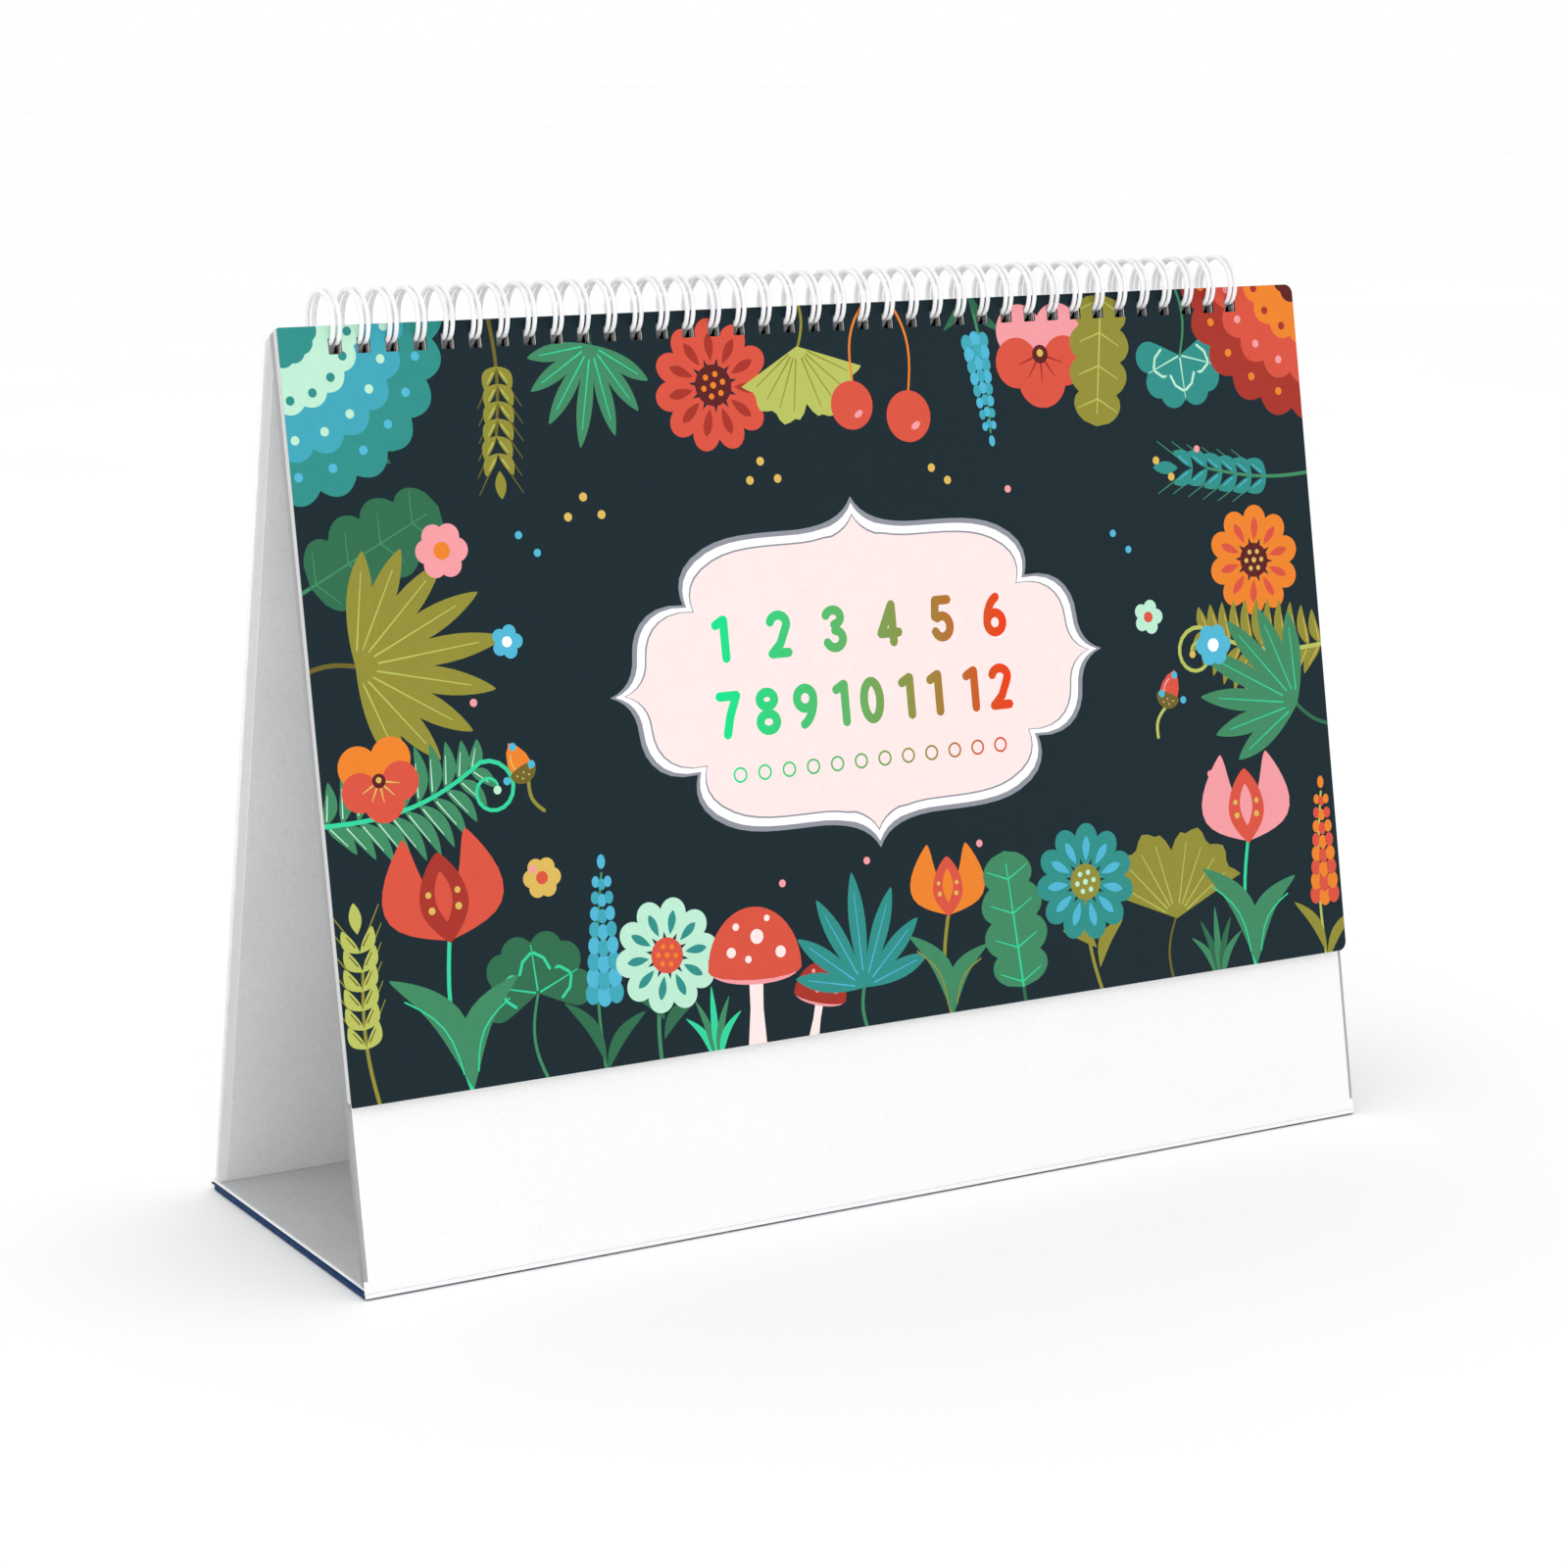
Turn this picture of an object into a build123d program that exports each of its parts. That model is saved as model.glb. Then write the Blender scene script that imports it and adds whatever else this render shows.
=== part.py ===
from build123d import *
import math
import os

os.makedirs("parts", exist_ok=True)

# Flip desk calendar: an easel of three board panels (front, back, base) joined
# by paper creases and a twin-loop wire, with a printed cover and nine month
# leaves hung on the wire in front.  Millimetres, +Z up, X along the wire,
# -Y the side that faces the reader.  Origin: on the table, under the centre
# of the overall box.

# ---------------------------------------------------------------- dimensions
WIDTH = 260.0            # panels and sheets, along X
LEAN = 11.0              # each easel panel from the vertical, degrees
SLANT = 200.3            # along a panel from the wire's centre to the table

# binding
PITCH = 6.35             # punched holes, centre to centre
LOOPS = 37
ROW_X = -3.2             # centre of the row of holes
RING_R = 6.5             # wire centreline radius
WIRE_D = 0.96
LOOP_HALF = 0.74         # half the spacing of the two wires of a loop
ROOT_FILLET = 0.8
ROOT_ANGLE = 259.0       # where the loops are linked, just inside the easel
TIP_ANGLE = -78.4        # where each loop's closed end begins to turn back

# panels
PANEL_GAP = 0.55         # inner faces from the wire's centre plane; the linked roots lie between them
LINER_T = 0.15
BOARD_T = 1.5
WRAP_T = 0.15
FRONT_TOP = 1.5          # panel top edges below the wire's centre
BACK_TOP = 2.6
PANEL_HOLE = (3.0, 4.3, 7.9)   # width, top and bottom below the wire's centre
PANEL_CORNER = 1.5

# base
PAD_T = 1.0              # dark non-slip underlay
BASE_WRAP_T = 0.15
BASE_BOARD_T = 0.95
BASE_LINER_T = 0.15
BASE_LIP = 2.0           # base board past the back panel's outer face
TAB_X = 72.0             # lock tabs on the back board
TAB_W = 20.0
TAB_DROP = 0.85
SEAT_GAP = 0.05

# sheets
SHEET_GAP = 0.1
LEAVES = 9
LEAF_T = 0.2
COVER_T = 0.3
SHEET_TOP = 1.1          # sheet top edge below the wire's centre
COVER_H = 159.4
LEAF_H = 158.6
SHEET_HOLE = (3.0, 3.6, 7.0)
SHEET_CORNER = 2.0
NOTCH_H = 0.9            # side notch round the hinge line
NOTCH_L = 8.8
LINE_H = 0.5
LINE_L = 8.0

# ---------------------------------------------------------------- derived
a = math.radians(LEAN)
PANEL_T = LINER_T + BOARD_T + WRAP_T
OUTER = PANEL_GAP + PANEL_T              # outer face of a panel from the wire's centre plane
BASE_TOP = PAD_T + BASE_WRAP_T + BASE_BOARD_T + BASE_LINER_T
RING_Z = SLANT * math.cos(a) - OUTER * math.sin(a)
HALF_FOOT = OUTER * math.cos(a) + (RING_Z + OUTER * math.sin(a)) * math.tan(a)
CREASE_DROP = PAD_T * math.tan(a)        # the front crease sits at the pad's top
RING_Y = -BASE_LIP / 2
FRONT_Y = RING_Y - HALF_FOOT             # front panel's outer face, produced to the table
BACK_Y = RING_Y + HALF_FOOT
CREASE_Y = FRONT_Y + CREASE_DROP
CREASE_Z = PAD_T
LEAF9_IN = OUTER + SHEET_GAP
LEAVES_OUT = LEAF9_IN + LEAVES * LEAF_T
COVER_IN = LEAVES_OUT + SHEET_GAP
COVER_MID = COVER_IN + COVER_T / 2
LEAVES_MID = (LEAF9_IN + LEAVES_OUT) / 2
COVER_LINE = math.sqrt(RING_R**2 - COVER_MID**2)     # where a sheet's mid-plane meets the wire
LEAVES_LINE = math.sqrt(RING_R**2 - LEAVES_MID**2)

N_FRONT = Vector(0, -math.cos(a), math.sin(a))
N_BACK = Vector(0, math.cos(a), math.sin(a))
U_FRONT = Vector(0, -math.sin(a), -math.cos(a))
U_BACK = Vector(0, math.sin(a), -math.cos(a))
RING_C = Vector(0, RING_Y, RING_Z)


def front_plane(d):
    """Plane parallel to the front panel, d in front of the wire's centre, local y up the panel."""
    return Plane(origin=RING_C + N_FRONT * d, x_dir=(1, 0, 0), z_dir=N_FRONT)


def back_plane(d):
    return Plane(origin=RING_C + N_BACK * d, x_dir=(-1, 0, 0), z_dir=N_BACK)


def hole_row(side, hole):
    """Centres of the punched holes in a panel plane's own axes."""
    w, top, bottom = hole
    return [
        (side * (ROW_X + (i - (LOOPS - 1) / 2) * PITCH), -(top + bottom) / 2)
        for i in range(LOOPS)
    ]


def write(part, name, colour):
    part.label = name
    part.color = Color(*colour)
    export_step(part, f"parts/{name}.step")


WHITE = (0.95, 0.95, 0.94)
GREY = (0.72, 0.72, 0.72)
NAVY = (0.13, 0.19, 0.22)
BLUE = (0.07, 0.16, 0.36)
KRAFT = (0.62, 0.60, 0.56)
SILVER = (0.85, 0.86, 0.88)

# ---------------------------------------------------------------- front panel
# Greyboard core, standing on the base, with a white paper wrap outside that
# runs down to the crease and a grey paper liner inside.
with BuildPart() as front_liner:
    with BuildSketch(front_plane(PANEL_GAP)):
        with Locations((0, -(FRONT_TOP + SLANT + 5) / 2)):
            Rectangle(WIDTH, SLANT + 5 - FRONT_TOP)
        with Locations(*hole_row(1, PANEL_HOLE)):
            Rectangle(PANEL_HOLE[0], PANEL_HOLE[2] - PANEL_HOLE[1], mode=Mode.SUBTRACT)
    extrude(amount=LINER_T)
    split(bisect_by=Plane.XY.offset(BASE_TOP + SEAT_GAP), keep=Keep.TOP)
write(front_liner.part, "front_liner", GREY)

with BuildPart() as front_board:
    with BuildSketch(front_plane(PANEL_GAP + LINER_T)):
        with Locations((0, -(FRONT_TOP + SLANT + 5) / 2)):
            Rectangle(WIDTH, SLANT + 5 - FRONT_TOP)
        with Locations(*hole_row(1, PANEL_HOLE)):
            Rectangle(PANEL_HOLE[0], PANEL_HOLE[2] - PANEL_HOLE[1], mode=Mode.SUBTRACT)
    extrude(amount=BOARD_T)
    split(bisect_by=Plane.XY.offset(BASE_TOP + SEAT_GAP), keep=Keep.TOP)
write(front_board.part, "front_board", KRAFT)

with BuildPart() as front_wrap:
    with BuildSketch(front_plane(PANEL_GAP + LINER_T + BOARD_T)):
        with Locations((0, -(FRONT_TOP + SLANT + 5) / 2)):
            Rectangle(WIDTH, SLANT + 5 - FRONT_TOP)
        with Locations(*hole_row(1, PANEL_HOLE)):
            Rectangle(PANEL_HOLE[0], PANEL_HOLE[2] - PANEL_HOLE[1], mode=Mode.SUBTRACT)
    extrude(amount=WRAP_T)
    split(bisect_by=Plane.XY.offset(CREASE_Z), keep=Keep.TOP)
write(front_wrap.part, "front_wrap", WHITE)

# ---------------------------------------------------------------- back panel
# The same three layers; its core ends in two lock tabs that drop into the base.
with BuildPart() as back_liner:
    with BuildSketch(back_plane(PANEL_GAP)):
        with Locations((0, -(BACK_TOP + SLANT + 5) / 2)):
            Rectangle(WIDTH, SLANT + 5 - BACK_TOP)
        with Locations(*hole_row(-1, PANEL_HOLE)):
            Rectangle(PANEL_HOLE[0], PANEL_HOLE[2] - PANEL_HOLE[1], mode=Mode.SUBTRACT)
    extrude(amount=LINER_T)
    split(bisect_by=Plane.XY.offset(BASE_TOP + SEAT_GAP), keep=Keep.TOP)
write(back_liner.part, "back_liner", GREY)

with BuildPart() as back_board:
    with BuildSketch(back_plane(PANEL_GAP + LINER_T)):
        with Locations((0, -(BACK_TOP + SLANT + 5) / 2)):
            Rectangle(WIDTH, SLANT + 5 - BACK_TOP)
        with Locations(*hole_row(-1, PANEL_HOLE)):
            Rectangle(PANEL_HOLE[0], PANEL_HOLE[2] - PANEL_HOLE[1], mode=Mode.SUBTRACT)
    extrude(amount=BOARD_T)
    split(bisect_by=Plane.XY.offset(BASE_TOP - TAB_DROP), keep=Keep.TOP)
    tab_half = TAB_W / 2
    outside = WIDTH / 2 - TAB_X - tab_half
    with Locations((0, BACK_Y, BASE_TOP + SEAT_GAP)):
        Box(2 * (TAB_X - tab_half), 20, 4, align=(Align.CENTER, Align.CENTER, Align.MAX), mode=Mode.SUBTRACT)
    with Locations(
        (-(TAB_X + tab_half + outside / 2 + 0.5), BACK_Y, BASE_TOP + SEAT_GAP),
        (TAB_X + tab_half + outside / 2 + 0.5, BACK_Y, BASE_TOP + SEAT_GAP),
    ):
        Box(outside + 1, 20, 4, align=(Align.CENTER, Align.CENTER, Align.MAX), mode=Mode.SUBTRACT)
write(back_board.part, "back_board", KRAFT)

with BuildPart() as back_wrap:
    with BuildSketch(back_plane(PANEL_GAP + LINER_T + BOARD_T)):
        with Locations((0, -(BACK_TOP + SLANT + 5) / 2)):
            Rectangle(WIDTH, SLANT + 5 - BACK_TOP)
        with Locations(*hole_row(-1, PANEL_HOLE)):
            Rectangle(PANEL_HOLE[0], PANEL_HOLE[2] - PANEL_HOLE[1], mode=Mode.SUBTRACT)
    extrude(amount=WRAP_T)
    split(bisect_by=Plane.XY.offset(BASE_TOP + SEAT_GAP), keep=Keep.TOP)
write(back_wrap.part, "back_wrap", WHITE)

# ---------------------------------------------------------------- base panel
# Non-slip underlay, wrap paper, thin board and liner.  It is creased to the
# front panel, runs back under the back panel and ends in a short lip.
back_low = BACK_Y - (BASE_TOP + SEAT_GAP) * math.tan(a)    # back panel's outer face at the base top
slot_back = BACK_Y - (BASE_TOP - TAB_DROP) * math.tan(a) + 0.35
slot_front = BACK_Y - BASE_TOP * math.tan(a) - PANEL_T / math.cos(a) - 1.0
BASE_FRONT = CREASE_Y + (BASE_TOP - CREASE_Z) * math.tan(a) + WRAP_T / math.cos(a) + 0.05
BASE_BACK = BACK_Y + BASE_LIP

with BuildPart() as base_pad:
    with BuildSketch(Plane.XY):
        with Locations((0, (FRONT_Y + BACK_Y) / 2)):
            Rectangle(WIDTH, BACK_Y - FRONT_Y)
    extrude(amount=PAD_T)
    chamfer(base_pad.edges().filter_by(Axis.X).group_by(Axis.Z)[0], 0.2)
write(base_pad.part, "base_pad", BLUE)

with BuildPart() as base_wrap:
    with BuildSketch(Plane.XY.offset(PAD_T)):
        with Locations((0, (BASE_FRONT + BASE_BACK) / 2)):
            Rectangle(WIDTH, BASE_BACK - BASE_FRONT)
    extrude(amount=BASE_WRAP_T)
write(base_wrap.part, "base_wrap", WHITE)

with BuildPart() as base_board:
    with BuildSketch(Plane.XY.offset(PAD_T + BASE_WRAP_T)):
        with Locations((0, (BASE_FRONT + BASE_BACK) / 2)):
            Rectangle(WIDTH, BASE_BACK - BASE_FRONT)
        with Locations((-TAB_X, (slot_front + slot_back) / 2), (TAB_X, (slot_front + slot_back) / 2)):
            Rectangle(TAB_W + 1.0, slot_back - slot_front, mode=Mode.SUBTRACT)
    extrude(amount=BASE_BOARD_T)
write(base_board.part, "base_board", KRAFT)

with BuildPart() as base_liner:
    with BuildSketch(Plane.XY.offset(PAD_T + BASE_WRAP_T + BASE_BOARD_T)):
        with Locations((0, (BASE_FRONT + BASE_BACK) / 2)):
            Rectangle(WIDTH, BASE_BACK - BASE_FRONT)
        with Locations((-TAB_X, (slot_front + slot_back) / 2), (TAB_X, (slot_front + slot_back) / 2)):
            Rectangle(TAB_W + 1.0, slot_back - slot_front, mode=Mode.SUBTRACT)
    extrude(amount=BASE_LINER_T)
write(base_liner.part, "base_liner", GREY)

# ---------------------------------------------------------------- month leaves
for n in range(1, LEAVES + 1):
    inner = LEAVES_OUT - n * LEAF_T
    with BuildPart() as leaf:
        with BuildSketch(front_plane(inner)):
            with Locations((0, -(SHEET_TOP + LEAF_H / 2))):
                RectangleRounded(WIDTH, LEAF_H, SHEET_CORNER)
            with Locations(*hole_row(1, SHEET_HOLE)):
                Rectangle(SHEET_HOLE[0], SHEET_HOLE[2] - SHEET_HOLE[1], mode=Mode.SUBTRACT)
            with Locations((-WIDTH / 2, -LEAVES_LINE), (WIDTH / 2, -LEAVES_LINE)):
                Rectangle(2 * NOTCH_L, NOTCH_H, mode=Mode.SUBTRACT)
        extrude(amount=LEAF_T)
    write(leaf.part, f"leaf_{n}", WHITE)

# the two short ends of the hinge line, on which the block of leaves turns
# while its holes travel round the wire
with BuildPart() as leaves_hinge_line:
    with BuildSketch(front_plane(LEAVES_MID - LEAF_T / 2)):
        with Locations(
            (-(WIDTH / 2 - LINE_L / 2 - 0.4), -LEAVES_LINE),
            (WIDTH / 2 - LINE_L / 2 - 0.4, -LEAVES_LINE),
        ):
            Rectangle(LINE_L, LINE_H)
    extrude(amount=LEAF_T)
write(leaves_hinge_line.part, "leaves_hinge_line", WHITE)

# ---------------------------------------------------------------- cover
with BuildPart() as cover:
    with BuildSketch(front_plane(COVER_IN)):
        with Locations((0, -(SHEET_TOP + COVER_H / 2))):
            RectangleRounded(WIDTH, COVER_H, SHEET_CORNER)
        with Locations(*hole_row(1, SHEET_HOLE)):
            Rectangle(SHEET_HOLE[0], SHEET_HOLE[2] - SHEET_HOLE[1], mode=Mode.SUBTRACT)
        with Locations((-WIDTH / 2, -COVER_LINE), (WIDTH / 2, -COVER_LINE)):
            Rectangle(2 * NOTCH_L, NOTCH_H, mode=Mode.SUBTRACT)
    extrude(amount=COVER_T)
write(cover.part, "cover", NAVY)

with BuildPart() as cover_hinge_line:
    with BuildSketch(front_plane(COVER_IN)):
        with Locations(
            (-(WIDTH / 2 - LINE_L / 2 - 0.4), -COVER_LINE),
            (WIDTH / 2 - LINE_L / 2 - 0.4, -COVER_LINE),
        ):
            Rectangle(LINE_L, LINE_H)
    extrude(amount=COVER_T)
write(cover_hinge_line.part, "cover_hinge_line", NAVY)


# ---------------------------------------------------------------- twin-loop wire
# One wire: thirty-seven double loops, linked at their roots inside the easel.
def on_ring(x, polar):
    p = math.radians(polar)
    return Vector(x, RING_Y + RING_R * math.cos(p), RING_Z + RING_R * math.sin(p))


def off_ring(x, polar, ahead):
    """A point on the tangent plane at polar, ahead of it the way polar falls."""
    p = math.radians(polar)
    return on_ring(x, polar) + Vector(0, math.sin(p), -math.cos(p)) * ahead


root_polar = ROOT_ANGLE - math.degrees(ROOT_FILLET / RING_R)
k = math.sqrt(0.5)
x_first = ROW_X - (LOOPS - 1) / 2 * PITCH
end_run = 1.2
with BuildPart() as twin_loop_wire:
    with BuildLine() as wire_path:
        for i in range(LOOPS):
            xl = x_first + i * PITCH - LOOP_HALF
            xm = x_first + i * PITCH
            xr = x_first + i * PITCH + LOOP_HALF
            before = xl - ROOT_FILLET
            after = xr + ROOT_FILLET
            low = -ROOT_FILLET
            if i == 0:
                Line(off_ring(before - end_run, root_polar, low), off_ring(before, root_polar, low))
            ThreePointArc(
                off_ring(before, root_polar, low),
                off_ring(xl - ROOT_FILLET * (1 - k), root_polar, -ROOT_FILLET * k),
                on_ring(xl, root_polar),
            )
            half = (root_polar + TIP_ANGLE) / 2
            ThreePointArc(on_ring(xl, root_polar), on_ring(xl, (root_polar + half) / 2), on_ring(xl, half))
            ThreePointArc(on_ring(xl, half), on_ring(xl, (half + TIP_ANGLE) / 2), on_ring(xl, TIP_ANGLE))
            ThreePointArc(on_ring(xl, TIP_ANGLE), off_ring(xm, TIP_ANGLE, LOOP_HALF), on_ring(xr, TIP_ANGLE))
            ThreePointArc(on_ring(xr, TIP_ANGLE), on_ring(xr, (half + TIP_ANGLE) / 2), on_ring(xr, half))
            ThreePointArc(on_ring(xr, half), on_ring(xr, (root_polar + half) / 2), on_ring(xr, root_polar))
            ThreePointArc(
                on_ring(xr, root_polar),
                off_ring(xr + ROOT_FILLET * (1 - k), root_polar, -ROOT_FILLET * k),
                off_ring(after, root_polar, low),
            )
            nxt = xl + PITCH - ROOT_FILLET if i < LOOPS - 1 else after + end_run
            Line(off_ring(after, root_polar, low), off_ring(nxt, root_polar, low))
    start = off_ring(x_first - LOOP_HALF - ROOT_FILLET - end_run, root_polar, -ROOT_FILLET)
    with BuildSketch(Plane(origin=start, x_dir=(0, 1, 0), z_dir=(1, 0, 0))):
        Circle(WIRE_D / 2)
    sweep(path=wire_path.wires()[0])
write(twin_loop_wire.part, "twin_loop_wire", SILVER)
wire_run = wire_path.wires()[0].length
wire_section = math.pi * WIRE_D**2 / 4
print(f"wire length {wire_run:.1f}, volume {twin_loop_wire.part.volume:.1f}, section x length {wire_run * wire_section:.1f}")

# ---------------------------------------------------------------- numbers used by the record
print(f"ring centre y {RING_Y:.4f} z {RING_Z:.4f}")
print(f"crease y {CREASE_Y:.4f} z {CREASE_Z:.4f}; front {FRONT_Y:.3f} back {BACK_Y:.3f} lip {BASE_BACK:.3f}")
for name, mid, line in (("cover", COVER_MID, COVER_LINE), ("leaves", LEAVES_MID, LEAVES_LINE)):
    h = RING_C + N_FRONT * mid + U_FRONT * line
    print(f"{name} hinge line y {h.Y:.4f} z {h.Z:.4f} mid {mid:.4f} line {line:.4f}")
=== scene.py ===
import math

import bpy
import numpy as np
from mathutils import Matrix, Vector
from mathutils.geometry import delaunay_2d_cdt


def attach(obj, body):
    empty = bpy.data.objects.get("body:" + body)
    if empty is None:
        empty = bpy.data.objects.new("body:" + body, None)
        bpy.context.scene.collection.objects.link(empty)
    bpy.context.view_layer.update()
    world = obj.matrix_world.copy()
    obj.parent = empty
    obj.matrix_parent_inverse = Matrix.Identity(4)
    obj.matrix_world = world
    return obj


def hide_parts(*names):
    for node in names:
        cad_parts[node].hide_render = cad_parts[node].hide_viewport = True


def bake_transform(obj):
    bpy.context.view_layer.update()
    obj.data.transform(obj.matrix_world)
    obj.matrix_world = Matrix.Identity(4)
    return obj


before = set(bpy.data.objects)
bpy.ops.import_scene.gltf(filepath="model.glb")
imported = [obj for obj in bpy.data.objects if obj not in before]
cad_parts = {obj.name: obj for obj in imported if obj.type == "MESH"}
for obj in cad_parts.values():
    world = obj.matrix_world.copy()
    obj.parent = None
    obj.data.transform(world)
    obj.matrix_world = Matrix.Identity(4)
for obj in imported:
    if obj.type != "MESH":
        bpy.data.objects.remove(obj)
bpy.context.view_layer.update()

# ------------------------------------------------------------------ construction numbers, millimetres
WIDTH = 260.0
LEAN = math.radians(11.0)
SLANT = 200.3
PITCH, LOOPS, ROW_X = 6.35, 37, -3.2
RING_R, WIRE_D, LOOP_HALF, ROOT_FILLET = 6.5, 0.96, 0.74, 0.8
ROOT_ANGLE, TIP_ANGLE = 259.0, -78.4
GAP, OUTER = 0.55, 2.35
FRONT_TOP, BACK_TOP = 1.5, 2.6
SHEET_TOP, COVER_H, LEAF_H = 1.1, 159.4, 158.6
RING_Z = SLANT * math.cos(LEAN) - OUTER * math.sin(LEAN)
HALF_FOOT = OUTER * math.cos(LEAN) + (RING_Z + OUTER * math.sin(LEAN)) * math.tan(LEAN)
RING = Vector((0, -1.0, RING_Z))
FRONT_Y, BACK_Y = RING.y - HALF_FOOT, RING.y + HALF_FOOT
CREASE_Y = FRONT_Y + math.tan(LEAN)
LIP_Y = BACK_Y + 2.0
CA, SA = math.cos(LEAN), math.sin(LEAN)


# A panel's own axes: x across, y up from the wire's centre, d outward from the centre plane.
def on_front(x, y, d):
    return (x, RING.y + y * SA - d * CA, RING.z + y * CA + d * SA)


def on_back(x, y, d):
    return (-x, RING.y - y * SA + d * CA, RING.z + y * CA + d * SA)


def on_base(x, y, d):
    return (x, y, d)


# ------------------------------------------------------------------ ART START
# Flat print shapes: lists of (polygon, ink), drawn bottom to top, in millimetres.
def hexa(h):
    return tuple(int(h[i : i + 2], 16) / 255 for i in (0, 2, 4))


INK = {
    "ground": hexa("17282f"),
    # pit: near-black, painted shade for the walls of the punched holes.
    "pit": hexa("141516"),
    # edge: mid grey on the sheets' cut edges, painted shade on edges that are white card.
    "edge": hexa("c9cacb"),
    "deep": hexa("1a2a31"),
    "paper": hexa("f4f3ef"),
    "card": hexa("efeee9"),
    "blush": hexa("f9e3e1"),
    "white": hexa("ffffff"),
    "frame": hexa("8e919b"),
    "teal": hexa("2f8c86"),
    "aqua": hexa("3fa3b5"),
    "sky": hexa("4fb3d0"),
    "green": hexa("3f8760"),
    "moss": hexa("2f6b4c"),
    "mint": hexa("b9e6cd"),
    "spring": hexa("34d09a"),
    "olive": hexa("8f8a35"),
    "lime": hexa("b5bd5e"),
    "bark": hexa("6b6127"),
    "coral": hexa("d5523f"),
    "brick": hexa("a53328"),
    "wine": hexa("5c1f20"),
    "rose": hexa("ee9aa0"),
    "orange": hexa("e8812a"),
    "gold": hexa("d8b45a"),
    "grid": hexa("9aa6a8"),
    "pale": hexa("dfe6e4"),
}


class Art:
    """A pile of flat shapes, placed by a moving frame."""

    def __init__(self):
        self.shapes = []
        self.at = (0.0, 0.0, 0.0, 1.0, 1.0)

    def place(self, x, y, turn=0.0, size=1.0, flip=1.0):
        self.at = (x, y, math.radians(turn), size, flip)
        return self

    def add(self, pts, ink):
        x, y, t, s, f = self.at
        c, n = math.cos(t), math.sin(t)
        out = []
        for px, py in pts:
            px *= f
            out.append((x + s * (px * c - py * n), y + s * (px * n + py * c)))
        self.shapes.append((out, ink))

    def disc(self, x, y, r, ink, n=0, stretch=1.0, turn=0.0):
        n = max(n, 18, min(64, int(16 + 5 * r)))
        c, s = math.cos(math.radians(turn)), math.sin(math.radians(turn))
        pts = []
        for i in range(n):
            a = 2 * math.pi * i / n
            u, v = r * math.cos(a), r * stretch * math.sin(a)
            pts.append((x + u * c - v * s, y + u * s + v * c))
        self.add(pts, ink)

    def petal(self, x0, y0, x1, y1, width, ink, full=0.68, n=24):
        """A petal with a round end, narrow where it starts."""
        dx, dy = x1 - x0, y1 - y0
        length = math.hypot(dx, dy)
        ux, uy = dx / length, dy / length
        left, right = [], []
        for i in range(n + 1):
            t = (1 - math.cos(math.pi * i / n)) / 2
            if t < full:
                w = math.sin(math.pi / 2 * t / full) ** 1.15
            else:
                w = math.sqrt(max(0.0, 1 - ((t - full) / (1 - full)) ** 2))
            h = width / 2 * w
            cx, cy = x0 + ux * length * t, y0 + uy * length * t
            left.append((cx - uy * h, cy + ux * h))
            if 0 < i < n:
                right.append((cx + uy * h, cy - ux * h))
        self.add(left + right[::-1], ink)

    def blade(self, x0, y0, x1, y1, width, ink, bend=0.0, full=0.5, n=12, blunt=0.0):
        """A leaf or petal from one point to another, fullest at full of its length."""
        dx, dy = x1 - x0, y1 - y0
        length = math.hypot(dx, dy)
        ux, uy = dx / length, dy / length
        left, right = [], []
        n = max(n, 16)
        for i in range(n + 1):
            t = (1 - math.cos(math.pi * i / n)) / 2
            k = t / full if t < full else (1 - t) / (1 - full)
            w = math.sin(math.pi / 2 * max(0.0, min(1.0, k))) ** (0.9 if t < full else 0.75)
            if blunt and t > full:
                w = max(w, blunt * math.sqrt(max(0.0, 1 - ((t - full) / (1 - full)) ** 4)))
            b = bend * length * math.sin(math.pi * t)
            cx, cy = x0 + ux * length * t - uy * b, y0 + uy * length * t + ux * b
            h = width / 2 * w
            left.append((cx - uy * h, cy + ux * h))
            if 0 < i < n:
                right.append((cx + uy * h, cy - ux * h))
        self.add(left + right[::-1], ink)

    def stroke(self, pts, width, ink, end=None):
        """A line of even or tapering width with rounded ends."""
        end = width if end is None else end
        n = len(pts)
        left, right = [], []
        for i, (x, y) in enumerate(pts):
            ax, ay = pts[max(0, i - 1)]
            bx, by = pts[min(n - 1, i + 1)]
            d = math.hypot(bx - ax, by - ay) or 1e-9
            ux, uy = (bx - ax) / d, (by - ay) / d
            h = (width + (end - width) * i / (n - 1)) / 2
            if i == 0:
                for a in (-50, 0, 50):
                    c, s = math.cos(math.radians(a)), math.sin(math.radians(a))
                    left.append((x + h * (-ux * c + uy * s), y + h * (-uy * c - ux * s)))
                left = left[::-1]
            left.append((x - uy * h, y + ux * h))
            right.append((x + uy * h, y - ux * h))
            if i == n - 1:
                for a in (50, 0, -50):
                    c, s = math.cos(math.radians(a)), math.sin(math.radians(a))
                    left.append((x + h * (ux * c - uy * s), y + h * (uy * c + ux * s)))
        self.add(left + right[::-1], ink)


def bow(x0, y0, x1, y1, rise, n=10):
    """Points of a bowed line between two points."""
    dx, dy = x1 - x0, y1 - y0
    return [
        (
            x0 + dx * i / n - dy * rise * math.sin(math.pi * i / n),
            y0 + dy * i / n + dx * rise * math.sin(math.pi * i / n),
        )
        for i in range(n + 1)
    ]


def ring_pts(cx, cy, rx, ry, a0, a1, n=10):
    return [
        (cx + rx * math.cos(math.radians(a0 + (a1 - a0) * i / n)), cy + ry * math.sin(math.radians(a0 + (a1 - a0) * i / n)))
        for i in range(n + 1)
    ]


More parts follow.
